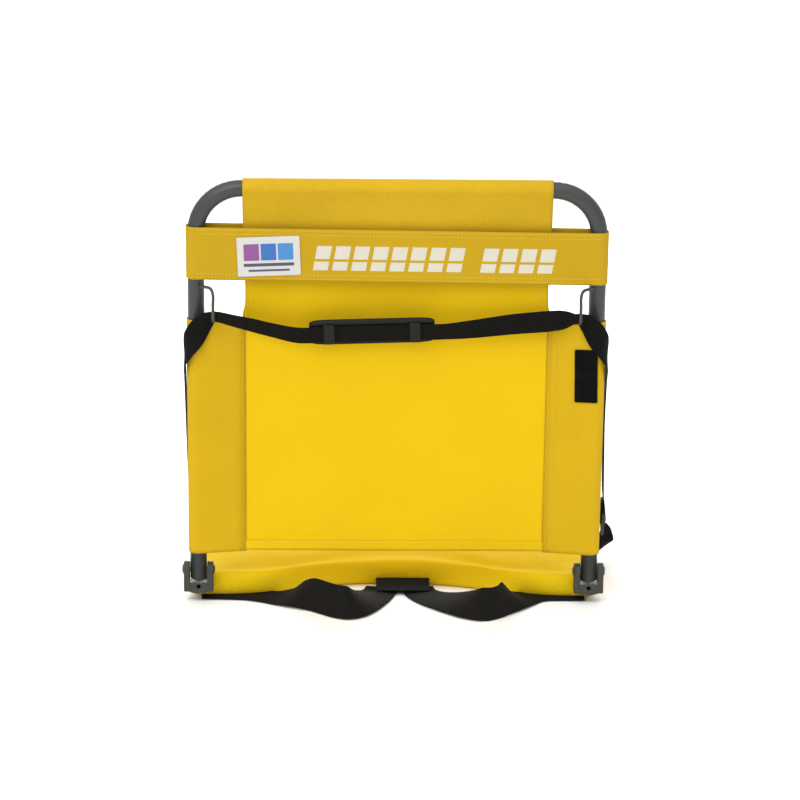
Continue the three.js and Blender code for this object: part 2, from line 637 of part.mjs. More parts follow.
// Everything is drawn with Y = 0 at the pivot line, then moved so that Y = 0 is the middle of the seat.
const SEAT_MIDDLE = (COVER_REAR + COVER_FRONT) / 2;
const pieces = new THREE.Group();
pieces.add(seatGroup(), backGroup());
pieces.position.y = -SEAT_MIDDLE;
const stadiumSeat = new THREE.Group();
stadiumSeat.add(pieces);

export default stadiumSeat;
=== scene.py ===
"""Folding stadium seat: the looks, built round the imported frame.

Lengths are metres in the row frame: +Z up, the sitter faces -Y and +X is the sitter's left.
Pieces of the back are drawn in the back's own axes (x across, y out of its rear face, h up along the legs
from the pivot) and then placed by BACK.
"""
import json
import math

import bpy
from mathutils import Matrix, Vector, noise
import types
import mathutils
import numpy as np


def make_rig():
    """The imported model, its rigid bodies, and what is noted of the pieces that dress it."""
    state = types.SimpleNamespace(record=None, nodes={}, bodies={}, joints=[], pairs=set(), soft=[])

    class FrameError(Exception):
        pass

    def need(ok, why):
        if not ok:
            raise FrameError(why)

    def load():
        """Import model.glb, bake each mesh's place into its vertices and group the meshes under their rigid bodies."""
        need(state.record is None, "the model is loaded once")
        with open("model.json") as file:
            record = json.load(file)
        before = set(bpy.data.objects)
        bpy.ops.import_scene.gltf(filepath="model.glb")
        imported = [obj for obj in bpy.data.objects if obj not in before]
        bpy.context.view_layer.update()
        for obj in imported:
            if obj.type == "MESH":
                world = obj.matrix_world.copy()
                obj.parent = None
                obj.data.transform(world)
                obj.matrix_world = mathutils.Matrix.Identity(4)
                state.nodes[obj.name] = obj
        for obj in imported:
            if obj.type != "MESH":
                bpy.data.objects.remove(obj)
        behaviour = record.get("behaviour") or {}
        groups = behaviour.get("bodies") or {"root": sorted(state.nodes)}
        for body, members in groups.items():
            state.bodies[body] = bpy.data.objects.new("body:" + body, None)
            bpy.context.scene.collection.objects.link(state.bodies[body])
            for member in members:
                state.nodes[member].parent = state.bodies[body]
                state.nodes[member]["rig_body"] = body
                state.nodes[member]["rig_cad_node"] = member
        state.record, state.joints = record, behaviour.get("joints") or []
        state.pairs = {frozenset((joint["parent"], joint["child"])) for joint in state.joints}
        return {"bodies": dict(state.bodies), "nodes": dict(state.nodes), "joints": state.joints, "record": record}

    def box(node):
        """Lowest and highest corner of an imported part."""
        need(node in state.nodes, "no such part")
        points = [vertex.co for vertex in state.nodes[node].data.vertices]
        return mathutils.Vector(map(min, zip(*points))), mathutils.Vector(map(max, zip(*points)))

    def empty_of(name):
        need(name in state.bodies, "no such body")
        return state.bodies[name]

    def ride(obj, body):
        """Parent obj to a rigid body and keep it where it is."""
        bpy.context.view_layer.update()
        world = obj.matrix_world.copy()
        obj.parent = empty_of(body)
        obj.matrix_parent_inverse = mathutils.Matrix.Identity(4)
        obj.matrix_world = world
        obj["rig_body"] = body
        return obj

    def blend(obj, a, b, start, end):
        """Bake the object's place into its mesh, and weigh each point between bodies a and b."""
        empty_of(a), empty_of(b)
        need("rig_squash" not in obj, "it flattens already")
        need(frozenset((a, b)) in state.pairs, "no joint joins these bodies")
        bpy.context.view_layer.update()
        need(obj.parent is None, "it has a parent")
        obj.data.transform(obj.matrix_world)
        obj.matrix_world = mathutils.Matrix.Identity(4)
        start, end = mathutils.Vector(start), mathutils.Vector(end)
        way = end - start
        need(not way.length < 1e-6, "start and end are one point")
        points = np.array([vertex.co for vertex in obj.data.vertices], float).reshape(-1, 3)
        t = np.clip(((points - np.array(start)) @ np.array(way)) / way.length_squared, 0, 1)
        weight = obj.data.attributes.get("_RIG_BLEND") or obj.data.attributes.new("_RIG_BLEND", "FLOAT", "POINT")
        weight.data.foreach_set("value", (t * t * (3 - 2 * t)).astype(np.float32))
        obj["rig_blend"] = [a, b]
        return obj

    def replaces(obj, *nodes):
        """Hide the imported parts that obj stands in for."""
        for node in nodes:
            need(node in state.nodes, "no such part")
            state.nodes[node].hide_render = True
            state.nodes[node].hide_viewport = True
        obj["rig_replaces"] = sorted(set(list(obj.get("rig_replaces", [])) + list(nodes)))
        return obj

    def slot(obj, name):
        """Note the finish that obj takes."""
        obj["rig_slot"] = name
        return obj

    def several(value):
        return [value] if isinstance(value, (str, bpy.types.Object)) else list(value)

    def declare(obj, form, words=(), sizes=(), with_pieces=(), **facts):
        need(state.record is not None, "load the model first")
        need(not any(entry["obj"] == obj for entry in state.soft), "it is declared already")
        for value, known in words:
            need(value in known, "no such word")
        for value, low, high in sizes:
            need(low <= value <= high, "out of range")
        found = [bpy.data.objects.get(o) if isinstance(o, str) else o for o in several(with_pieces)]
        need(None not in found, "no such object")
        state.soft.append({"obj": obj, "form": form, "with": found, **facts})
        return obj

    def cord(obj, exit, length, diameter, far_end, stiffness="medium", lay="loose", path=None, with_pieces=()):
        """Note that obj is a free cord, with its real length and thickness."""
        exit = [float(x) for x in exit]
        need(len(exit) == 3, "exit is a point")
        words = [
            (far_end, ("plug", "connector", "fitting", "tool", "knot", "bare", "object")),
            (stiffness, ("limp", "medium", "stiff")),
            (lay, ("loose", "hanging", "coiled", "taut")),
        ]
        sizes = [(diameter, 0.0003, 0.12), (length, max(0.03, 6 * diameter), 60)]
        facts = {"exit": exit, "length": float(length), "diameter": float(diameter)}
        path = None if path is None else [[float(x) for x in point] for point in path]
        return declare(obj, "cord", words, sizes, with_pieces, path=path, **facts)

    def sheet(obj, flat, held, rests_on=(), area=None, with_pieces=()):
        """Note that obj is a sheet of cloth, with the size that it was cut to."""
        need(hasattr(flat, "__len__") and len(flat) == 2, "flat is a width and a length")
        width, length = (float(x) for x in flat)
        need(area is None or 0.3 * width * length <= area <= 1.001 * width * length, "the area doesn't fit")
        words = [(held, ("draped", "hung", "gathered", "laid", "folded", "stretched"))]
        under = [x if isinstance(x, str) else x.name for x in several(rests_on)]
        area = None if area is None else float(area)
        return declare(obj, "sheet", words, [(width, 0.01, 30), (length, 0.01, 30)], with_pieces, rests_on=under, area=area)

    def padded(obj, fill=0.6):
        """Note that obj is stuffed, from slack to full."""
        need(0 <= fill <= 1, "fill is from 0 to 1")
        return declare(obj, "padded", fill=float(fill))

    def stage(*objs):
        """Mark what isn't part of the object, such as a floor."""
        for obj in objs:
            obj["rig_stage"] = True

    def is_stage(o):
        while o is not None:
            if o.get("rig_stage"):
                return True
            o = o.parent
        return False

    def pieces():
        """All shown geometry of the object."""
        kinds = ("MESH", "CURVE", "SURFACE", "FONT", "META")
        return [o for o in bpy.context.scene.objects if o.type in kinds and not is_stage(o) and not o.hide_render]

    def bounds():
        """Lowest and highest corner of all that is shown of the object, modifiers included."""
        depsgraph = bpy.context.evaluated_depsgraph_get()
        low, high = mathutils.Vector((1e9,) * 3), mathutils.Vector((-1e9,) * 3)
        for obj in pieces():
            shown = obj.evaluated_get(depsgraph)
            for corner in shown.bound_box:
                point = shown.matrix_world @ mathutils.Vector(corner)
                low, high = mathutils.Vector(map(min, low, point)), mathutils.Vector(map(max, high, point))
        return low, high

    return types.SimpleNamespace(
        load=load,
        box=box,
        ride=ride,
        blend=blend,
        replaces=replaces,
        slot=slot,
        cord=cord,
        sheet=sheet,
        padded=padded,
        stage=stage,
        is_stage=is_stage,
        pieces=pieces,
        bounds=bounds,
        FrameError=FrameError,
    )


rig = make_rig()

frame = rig.load()
CAD_BOX = [list(corner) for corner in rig.bounds()]

MM = 0.001


def corners(node):
    return [Vector(corner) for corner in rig.box(node)]


def middle(node):
    low, high = corners(node)
    return (low + high) / 2


# ---- driving places and sizes ----
RECLINE = math.radians(4)
PIVOT_Y = middle("pivot_rivet_left").y
PIVOT_Z = middle("pivot_rivet_left").z
LEG_X = middle("pivot_rivet_left").x
TUBE_R = 9.5 * MM
BEND_R = 52 * MM
BACK_HEIGHT = 451 * MM
PANEL_HALF = corners("back_sheet")[1].x
SEAT_DEPTH = 400 * MM
SEAT_TUBE_Z = middle("bracket_pin_left").z
SLEEVE_R = 11.1 * MM
CLOTH_THICK = 1.0 * MM
SEAM_LAP = 2 * MM
HEM_H, SLEEVE_TOP, TOP_SEAM_H = 24 * MM, 301 * MM, 396 * MM
BAND_LOW, BAND_HIGH = 344.5 * MM, 404.5 * MM
BAND_TILT, BAND_LIFT = math.radians(0.5), 2 * MM

SEAT = Matrix.Translation((0, PIVOT_Y, 0))
BACK_TURN = Matrix.Rotation(-RECLINE, 4, "X")
BACK = Matrix.Translation((0, PIVOT_Y, PIVOT_Z)) @ BACK_TURN


# ---- camera and light ----
def make_camera():
    """A long lens behind the seat, a little above it."""
    elevation, turn, roll = math.radians(14), math.radians(1), 0.01
    distance = 3.552
    target = Vector((-5.1 * MM, PIVOT_Y, PIVOT_Z + 201.5 * MM))
    level = math.cos(elevation)
    out = Vector((math.sin(turn) * level, math.cos(turn) * level, math.sin(elevation)))
    camera = bpy.data.objects.new("camera", bpy.data.cameras.new("camera"))
    camera.data.sensor_width = 36
    camera.data.lens = 140.7
    camera.data.clip_start = 0.1
    camera.data.clip_end = 20
    right = (-out).cross(Vector((0, 0, 1))).normalized()
    up = right.cross(-out)
    turned = math.cos(roll) * right + math.sin(roll) * up
    raised = math.cos(roll) * up - math.sin(roll) * right
    basis = Matrix((turned, raised, out)).transposed().to_4x4()
    camera.matrix_world = Matrix.Translation(target + out * distance) @ basis
    bpy.context.collection.objects.link(camera)
    bpy.context.scene.camera = camera


def area_light(name, place, target, size, power):
    light = bpy.data.lights.new(name, "AREA")
    light.shape = "DISK"
    light.size = size
    light.energy = power
    lamp = bpy.data.objects.new(name, light)
    lamp.location = place
    lamp.rotation_euler = (Vector(target) - Vector(place)).to_track_quat("-Z", "Y").to_euler()
    bpy.context.collection.objects.link(lamp)


def make_studio():
    """An even pale sky, two soft lamps, a broad sun and a pale floor."""
    bpy.context.scene.view_settings.view_transform = "Standard"
    world = bpy.data.worlds.new("studio")
    bpy.context.scene.world = world
    world.use_nodes = True
    world.node_tree.nodes["Background"].inputs[0].default_value = (1, 1, 1, 1)
    world.node_tree.nodes["Background"].inputs[1].default_value = 0.74
    area_light("key", (0.9, 2.2, 2.4), (0, 0.2, 0.2), 1.8, 24)
    area_light("cushion_fill", (0, -1.9, 0.9), (0, 0.15, 0.02), 1.2, 24)
    sun = bpy.data.lights.new("sky", "SUN")
    sun.energy = 1.5
    sun.angle = math.radians(95)
    lamp = bpy.data.objects.new("sky", sun)
    lamp.rotation_euler = Vector((-0.12, -0.45, -1)).to_track_quat("-Z", "Y").to_euler()
    bpy.context.collection.objects.link(lamp)
    mesh = bpy.data.meshes.new("floor")
    far = 12
    square = [(-far, -far, 0), (far, -far, 0), (far, far, 0), (-far, far, 0)]
    mesh.from_pydata(square, [], [(0, 1, 2, 3)])
    floor = bpy.data.objects.new("floor", mesh)
    bpy.context.collection.objects.link(floor)
    floor.data.materials.append(plain("floor_paint", (0.96, 0.96, 0.96), 0.7))
    floor.location.z = -0.3 * MM
    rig.stage(floor)


# ---- materials ----
class Nodes:
    """A short way to write a node material. Each method adds a node, and most give back its output."""

    def __init__(self, name, roughness, metallic=0.0, specular=0.5):
        self.material = bpy.data.materials.new(name)
        self.material.use_nodes = True
        self.tree = self.material.node_tree
        self.shader = self.tree.nodes["Principled BSDF"]
        self.shader.inputs["Roughness"].default_value = roughness
        self.shader.inputs["Metallic"].default_value = metallic
        self.shader.inputs["Specular IOR Level"].default_value = specular
        self.normal = None

    def add(self, kind, inputs=(), **settings):
        node = self.tree.nodes.new(kind)
        for key, value in settings.items():
            setattr(node, key, value)
        for key, value in dict(inputs).items():
            if isinstance(value, bpy.types.NodeSocket):
                self.tree.links.new(value, node.inputs[key])
            else:
                node.inputs[key].default_value = value
        return node

    def coordinates(self, kind="Object"):
        return self.add("ShaderNodeTexCoord").outputs[kind]

    def noise(self, where, scale, detail=3.0):
        inputs = {"Vector": where, "Scale": scale, "Detail": detail, "Roughness": 0.55}
        return self.add("ShaderNodeTexNoise", inputs).outputs["Fac"]

    def ribs(self, where, period, axis):
        inputs = {"Vector": where, "Scale": math.pi / (10 * period)}
        node = self.add("ShaderNodeTexWave", inputs, wave_type="BANDS", bands_direction=axis)
        return node.outputs["Fac"]

    def maths(self, operation, a, b):
        return self.add("ShaderNodeMath", {0: a, 1: b}, operation=operation).outputs[0]

    def ramp(self, value, low, high, stops=(0.0, 1.0)):
        node = self.add("ShaderNodeValToRGB", {"Fac": value})
        node.color_ramp.elements[0].position = stops[0]
        node.color_ramp.elements[0].color = (*low, 1)
        node.color_ramp.elements[1].position = stops[1]
        node.color_ramp.elements[1].color = (*high, 1)
        return node.outputs["Color"]

    def bump(self, height, strength, distance):
        inputs = {"Height": height, "Strength": strength, "Distance": distance}
        if self.normal is not None:
            inputs["Normal"] = self.normal
        self.normal = self.add("ShaderNodeBump", inputs).outputs["Normal"]

    def colour(self, value):
        self.tree.links.new(value, self.shader.inputs["Base Color"])

    def rough(self, value, low, high):
        node = self.add("ShaderNodeMapRange", {"Value": value, "To Min": low, "To Max": high})
        self.tree.links.new(node.outputs["Result"], self.shader.inputs["Roughness"])

    def done(self):
        if self.normal is not None:
            self.tree.links.new(self.normal, self.shader.inputs["Normal"])
        return self.material


def plain(name, colour, roughness):
    """Paint or ink with a faint speckle."""
    made = Nodes(name, roughness)
    where = made.coordinates()
    speckle = made.noise(where, 40)
    dark = tuple(0.97 * c for c in colour)
    made.colour(made.ramp(speckle, dark, colour))
    return made.done()


def cloth(name, light, dark, axes, thread=0.9 * MM, folds=0.25, shine=0.1):
    """Plain-woven coated cloth. axes are the two directions that its threads run across, and folds is how
    strongly it creases."""
    made = Nodes(name, 0.78, specular=shine)
    where = made.coordinates()
    warp = made.ribs(where, thread, axes[0])
    weft = made.ribs(where, thread, axes[1])
    weave = made.maths("MULTIPLY", warp, weft)
    broad = made.noise(where, 7, 4)
    fine = made.noise(where, 240, 2)
    mixed = made.maths("ADD", made.maths("MULTIPLY", broad, 0.7), made.maths("MULTIPLY", fine, 0.3))
    shade = made.maths("ADD", made.maths("MULTIPLY", mixed, 0.75), made.maths("MULTIPLY", weave, 0.35))
    made.colour(made.ramp(shade, dark, light, (0.25, 0.75)))
    made.rough(broad, 0.62, 0.8)
    made.bump(made.noise(where, 9, 2), folds, 9 * MM)
    made.bump(made.noise(where, 26, 3), 0.35, 1.2 * MM)
    made.bump(weave, 0.35, 0.12 * MM)
    return made.done()


def webbing_look(name, light, dark, rib=2.4 * MM):
    """Woven webbing. Its mesh carries a map in metres: u runs along the webbing and v across it."""
    made = Nodes(name, 0.8, specular=0.1)
    where = made.coordinates("UV")
    rows = made.ribs(where, rib, "X")
    lines = made.ribs(where, rib * 0.8, "Y")
    twill = made.ribs(where, rib * 0.9, "DIAGONAL")
    weave = made.maths("MULTIPLY", made.maths("ADD", rows, twill), lines)
    fuzz = made.noise(made.coordinates(), 900, 2)
    shade = made.maths("ADD", made.maths("MULTIPLY", weave, 0.45), made.maths("MULTIPLY", fuzz, 0.35))
    made.colour(made.ramp(shade, dark, light, (0.15, 0.9)))
    made.bump(weave, 0.6, 0.35 * MM)
    made.bump(fuzz, 0.25, 0.1 * MM)
    return made.done()


def moulded(name, colour, roughness, grain=900, depth=0.06 * MM):
    """Plastic or rubber with a fine moulded grain."""
    made = Nodes(name, roughness, specular=0.2)
    where = made.coordinates()
    pits = made.noise(where, grain, 2)
    broad = made.noise(where, 50, 3)
    made.colour(made.ramp(broad, tuple(0.75 * c for c in colour), tuple(1.2 * c for c in colour)))
    made.rough(broad, roughness - 0.08, roughness + 0.1)
    made.bump(pits, 0.4, depth)
    return made.done()


def powder_coat():
    """Grey powder coat with a slight orange peel."""
    made = Nodes("grey_powder_coat", 0.36, specular=0.45)
    where = made.coordinates()
    broad = made.noise(where, 30, 3)
    peel = made.noise(where, 700, 2)
    made.colour(made.ramp(broad, (0.028, 0.031, 0.03), (0.045, 0.049, 0.047)))
    made.rough(broad, 0.33, 0.46)
    made.bump(peel, 0.25, 0.08 * MM)
    return made.done()


def zinc():
    """Dark plated steel."""
    made = Nodes("dark_zinc", 0.4, metallic=0.85)
    where = made.coordinates()
    broad = made.noise(where, 120, 3)
    made.colour(made.ramp(broad, (0.06, 0.06, 0.06), (0.14, 0.14, 0.135)))
    made.rough(broad, 0.3, 0.5)
    made.bump(broad, 0.2, 0.1 * MM)
    return made.done()


def fuzzy(name, light, dark):
    """Hook-and-loop tape."""
    made = Nodes(name, 0.95, specular=0.04)
    where = made.coordinates()
    hooks = made.add("ShaderNodeTexVoronoi", {"Vector": where, "Scale": 1100.0}).outputs["Distance"]
    broad = made.noise(where, 60, 3)
    shade = made.maths("MULTIPLY", hooks, broad)
    made.colour(made.ramp(shade, dark, light, (0.0, 0.5)))
    made.bump(hooks, 0.8, 0.5 * MM)
    return made.done()


# One yellow cloth: duller where it is doubled, in the sleeves and the band, and brightest on the seat.
LOOKS = {
    "yellow_back": cloth("yellow_cloth_back", (0.75, 0.49, 0.004), (0.67, 0.42, 0.003), "XZ", folds=0.35),
    "yellow_sleeve": cloth("yellow_cloth_sleeve", (0.63, 0.4, 0.009), (0.52, 0.325, 0.006), "XZ", folds=0.35),
    "yellow_top": cloth("yellow_cloth_top", (0.64, 0.41, 0.016), (0.47, 0.29, 0.01), "XZ", folds=0.9),
    "yellow_band": cloth("yellow_cloth_band", (0.52, 0.33, 0.012), (0.44, 0.275, 0.009), "XZ"),
    "yellow_seat": cloth("yellow_cloth_seat", (0.82, 0.57, 0.012), (0.68, 0.46, 0.007), "XY",
                         folds=1.0, shine=0.02),
    "thread": plain("yellow_thread", (0.78, 0.54, 0.04), 0.8),
    "webbing": webbing_look("black_webbing", (0.011, 0.01, 0.009), (0.002, 0.0018, 0.0016)),
    "bench_webbing": webbing_look("bench_webbing", (0.016, 0.015, 0.013), (0.003, 0.0028, 0.0025),
                                  2.8 * MM),
    "powder": powder_coat(),
    "plastic": moulded("hinge_plastic", (0.05, 0.049, 0.043), 0.45),
    "rubber": moulded("pad_rubber", (0.011, 0.011, 0.01), 0.66, 500, 0.12 * MM),
    "zinc": zinc(),
    "patch": fuzzy("hook_patch", (0.009, 0.009, 0.008), (0.002, 0.002, 0.002)),
    "label": cloth("label_ribbon", (0.64, 0.62, 0.59), (0.56, 0.54, 0.51), "XZ", 0.5 * MM),
    "print": plain("white_print", (0.6, 0.56, 0.45), 0.7),
    "plum": plain("ink_plum", (0.24, 0.07, 0.25), 0.6),
    "blue": plain("ink_blue", (0.03, 0.14, 0.42), 0.6),
    "sky": plain("ink_sky", (0.05, 0.22, 0.5), 0.6),
    "grey": plain("ink_grey", (0.06, 0.07, 0.12), 0.6),
}


# ---- mesh helpers ----
def new_piece(name, points, faces, look, place=None, smooth=True):
    mesh = bpy.data.meshes.new(name)
    mesh.from_pydata([tuple(p) for p in points], [], faces)
    if place is not None:
        mesh.transform(place)
    mesh.polygons.foreach_set("use_smooth", [smooth] * len(mesh.polygons))
    mesh.materials.append(LOOKS[look])
    mesh.update()
    piece = bpy.data.objects.new(name, mesh)
    bpy.context.collection.objects.link(piece)
    return piece


def back_point(x, y, h):
    """A place in the back's own axes, in world axes."""
    return BACK @ Vector((x, y, h))


def settle(piece):
    """Applies every modifier on the piece."""
    graph = bpy.context.evaluated_depsgraph_get()
    made = bpy.data.meshes.new_from_object(piece.evaluated_get(graph))
    piece.modifiers.clear()
    piece.data = made
    return piece


def thicken(piece, thickness):
    """Gives a skin its thickness, half to each side."""
    modifier = piece.modifiers.new("thickness", "SOLIDIFY")
    modifier.thickness = thickness
    modifier.offset = 0
    modifier.use_even_offset = False
    return settle(piece)


def refine(piece):
    modifier = piece.modifiers.new("refine", "SUBSURF")
    modifier.levels = 1
    modifier.render_levels = 1
    return settle(piece)


def grid_faces(rows, columns, closed=False, flip=False):
    """Faces between rows of points. closed joins each row's last point to its first."""
    faces = []
    for i in range(rows - 1):
        for j in range(columns if closed else columns - 1):
            k = (j + 1) % columns
            face = (i * columns + j, i * columns + k, (i + 1) * columns + k, (i + 1) * columns + j)
            faces.append(tuple(reversed(face)) if flip else face)
    return faces


def surface(name, rows, look, place=None, closed=False):
    """A skin through rows of points, all rows having the same number of points."""
    points = [p for row in rows for p in row]
    return new_piece(name, points, grid_faces(len(rows), len(rows[0]), closed), look, place)


def span(low, high, count):
    """Evenly spaced values from low to high, both included."""
    return [low + (high - low) * i / (count - 1) for i in range(count)]


def smoothstep(value, low, high):
    t = min(max((value - low) / (high - low), 0), 1)
    return t * t * (3 - 2 * t)


def wrinkle(x, y, size, seed):
    """A smooth, repeatable noise between about -1 and 1."""
    return noise.noise(Vector((x / size, y / size, seed)))


def spline(points, per_span):
    """A centripetal Catmull-Rom curve through the points: (point, tangent, span's number, share of it)."""
    full = [2 * points[0] - points[1], *points, 2 * points[-1] - points[-2]]
    made = []
    for k in range(len(points) - 1):
        p0, p1, p2, p3 = full[k:k + 4]
        d0, d1, d2 = [max((b - a).length, 1e-6) ** 0.5 for a, b in ((p0, p1), (p1, p2), (p2, p3))]
        t1 = ((p1 - p0) / d0 - (p2 - p0) / (d0 + d1) + (p2 - p1) / d1) * d1
        t2 = ((p2 - p1) / d1 - (p3 - p1) / (d1 + d2) + (p3 - p2) / d2) * d1
        c2 = -3 * p1 + 3 * p2 - 2 * t1 - t2
        c3 = 2 * p1 - 2 * p2 + t1 + t2
        last = k == len(points) - 2
        for i in range(per_span + (1 if last else 0)):
            t = i / per_span
            point = p1 + t * (t1 + t * (c2 + t * c3))
            tangent = (t1 + t * (2 * c2 + 3 * t * c3)).normalized()
            made.append((point, tangent, k, t))
    return made


def sweep(name, centres, tangents, firsts, section, look, mapped=False):
    """A closed skin that carries a closed section (pairs across, out) along a line. firsts are the
    directions of the section's first axis. mapped adds the map that webbing_look reads."""
    points, map_points = [], []
    count = len(section)
    travelled = 0.0
    for i, (centre, tangent, first) in enumerate(zip(centres, tangents, firsts)):
        edge = (first - tangent * first.dot(tangent)).normalized()
        face = tangent.cross(edge)
        if i:
            travelled += (centre - centres[i - 1]).length
        for a, b in section:
            points.append(centre + edge * a + face * b)
            map_points.append((travelled, a + b))
    faces = grid_faces(len(centres), count, closed=True, flip=True)
    faces.append(tuple(range(count)))
    faces.append(tuple(reversed(range(len(points) - count, len(points)))))
    piece = new_piece(name, points, faces, look)
    if mapped:
        layer = piece.data.uv_layers.new(name="weave")
        for loop in piece.data.loops:
            layer.data[loop.index].uv = map_points[loop.vertex_index]
    return piece


def webbing_section(width, thickness):
    """The section of webbing: flat faces and rounded selvedges."""
    half, r = width / 2, thickness / 2
    top = [(x * (half - r), r * (0.93 + 0.07 * math.cos(3 * x))) for x in span(-1, 1, 7)]
    right = [(half - r + r * math.cos(a), r * math.sin(a)) for a in (math.pi / 4, 0, -math.pi / 4)]
    return top + right + [(-x, -y) for x, y in top] + [(-x, -y) for x, y in right]


def webbing(name, route, width, thickness, look, per_span=5):
    """Flat webbing along a route of (point, direction across), and the line of its middle."""
    path = spline([p for p, _ in route], per_span)
    across = [e for _, e in route]
    centres, tangents, firsts = [], [], []
    for point, tangent, k, t in path:
        centres.append(point)
        tangents.append(tangent)
        firsts.append(across[k].lerp(across[min(k + 1, len(across) - 1)], t))
    section = webbing_section(width, thickness)
    piece = sweep(name, centres, tangents, firsts, section, look, mapped=True)
    return piece, centres


def circle(radius, sides):
    angles = [2 * math.pi * i / sides for i in range(sides)]
    return [(radius * math.cos(a), radius * math.sin(a)) for a in angles]


def rod(name, points, radius, look):
    """A round rod through points."""
    path = spline(points, 8)
    centres = [point for point, *_ in path]
    tangents = [tangent for _, tangent, *_ in path]
    side, other = Vector((0, 1, 0)), Vector((1, 0, 0))
    firsts = [side if abs(side.dot(t)) < 0.9 else other for t in tangents]
    return sweep(name, centres, tangents, firsts, circle(radius, 14), look)


def hollow(outer, inner, sides, look):
    """Joins an outer and an inner skin into one tube with ring ends."""
    points = [v.co.copy() for v in outer.data.vertices] + [v.co.copy() for v in inner.data.vertices]
    shift = len(outer.data.vertices)
    walls = [tuple(f.vertices) for f in outer.data.polygons if len(f.vertices) == 4]
    for f in inner.data.polygons:
        if len(f.vertices) == 4:
            walls.append(tuple(shift + v for v in reversed(f.vertices)))
    for start in (0, shift - sides):
        for i in range(sides):
            a, b = start + i, start + (i + 1) % sides
            ring = (a, b, shift + b, shift + a)
            walls.append(ring if start == 0 else tuple(reversed(ring)))
    name = outer.name
    bpy.data.objects.remove(outer)
    bpy.data.objects.remove(inner)
    return new_piece(name, points, walls, look)


def flat_shape(name, outlines, depth, bevel, look, place):
    """A plate with rounded edges, from closed outlines in its own XY plane. Outlines after the first are
    holes."""
    curve = bpy.data.curves.new(name, "CURVE")
    curve.dimensions = "2D"
    curve.fill_mode = "BOTH"
    curve.extrude = max(depth / 2 - bevel, 0)
    curve.bevel_depth = bevel
    curve.bevel_resolution = 2
    curve.offset = -bevel
    for outline in outlines:
        line = curve.splines.new("POLY")
        line.points.add(len(outline) - 1)
        for point, (x, y) in zip(line.points, outline):
            point.co = (x, y, 0, 1)
        line.use_cyclic_u = True
    made = bpy.data.objects.new(name + "_curve", curve)
    bpy.context.collection.objects.link(made)
    graph = bpy.context.evaluated_depsgraph_get()
    mesh = bpy.data.meshes.new_from_object(made.evaluated_get(graph))
    bpy.data.objects.remove(made)
    mesh.transform(place)
    mesh.name = name
    mesh.materials.clear()
    mesh.materials.append(LOOKS[look])
    piece = bpy.data.objects.new(name, mesh)
    bpy.context.collection.objects.link(piece)
    return piece


def rounded_box(width, height, radius, steps=4):
    """The outline of a rectangle with rounded corners, about its middle."""
    across, up = width / 2 - radius, height / 2 - radius
    outline = []
    for cx, cy, start in ((1, 1, 0), (-1, 1, 1), (-1, -1, 2), (1, -1, 3)):
        for i in range(steps + 1):
            a = (start + i / steps) * math.pi / 2
            outline.append((cx * across + radius * math.cos(a), cy * up + radius * math.sin(a)))
    return outline


def stitches(name, line, out):
    """A row of short thread stitches lying along a line of points, raised along out."""
    length, gap, thick = 2.6 * MM, 1.3 * MM, 0.35 * MM
    points, faces = [], []
    want, travelled = 0.0, 0.0
    for a, b in zip(line, line[1:]):
        step = (b - a).length
        along = (b - a) / step
        while want + length <= travelled + step:
            start = a + along * (want - travelled)
            side = along.cross(out).normalized() * thick
            rise = out * thick
            base = len(points)
            for d, r in ((0, 0.3), (0.2, 1), (0.8, 1), (1, 0.3)):
                centre = start + along * (length * d)
                points += [centre - side * r, centre + rise * r * 1.2]
                points += [centre + side * r, centre - rise * r * 0.4]
            faces += [tuple(base + k for k in face) for face in grid_faces(4, 4, closed=True)]
            faces.append((base + 3, base + 2, base + 1, base))
            faces.append((base + 12, base + 13, base + 14, base + 15))
            want += length + gap
        travelled += step
    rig.ride(new_piece(name, points, faces, "thread"), "back")


make_camera()
make_studio()


# ---- carrying strap ----
STRAP_WIDTH, STRAP_THICK = 25 * MM, 1.6 * MM
RUN = (0, -0.86, 0.5)
LEFT_RUN = [
    ((0.2392, -0.144, 0.016), RUN), ((0.2392, -0.130, 0.040), RUN), ((0.2388, -0.092, 0.104), RUN),
    ((0.2384, -0.040, 0.190), RUN),
]
RIGHT_RUN = [((-0.2396, -0.026, 0.213), RUN), ((-0.2426, -0.056, 0.161), RUN)]

# How the strap passes the ladder lock: how far up the lock's line, and how far out from it, in millimetres.
THREADING = [
    (40, -1.5), (21, 0.6), (8.3, 2.6), (2.2, 2.4), (-2.8, -0.2), (2.3, -2.9), (10, -2.9), (27, -4.5),
    (46, -6), (66, -7.5),
]
LOCK_ALONG = Vector((0, 0.5, 0.86)).normalized()


def at_lock(along, out):
    """A place on the line of the ladder lock, in the seat's own axes."""
    place = middle("ladder_lock") - Vector((0, PIVOT_Y, 0)) + LOCK_ALONG * along * MM
    return tuple(place - Vector((out * MM, 0, 0)))


def lean(degrees):
    """A direction across the strap that leans out of the back by this angle."""
    a = math.radians(degrees)
    return (0, math.sin(a), math.cos(a))


PAD_X, PAD_H, STRAP_Y = 27.5 * MM, 290 * MM, 20 * MM
PAD_LEAN, PAD_TILT = math.radians(1.9), math.radians(30)
PAD_FACE = -(STRAP_THICK / 2 + 0.5 * MM)


def pad_line(x):
    """The straight stretch of strap under the shoulder pad."""
    return (x, STRAP_Y, PAD_H - (x - PAD_X) * math.tan(PAD_LEAN))


def other_side(place):
    (x, y, h), (ex, ey, eh) = place
    return (-x, y, h), (-ex, ey, eh)


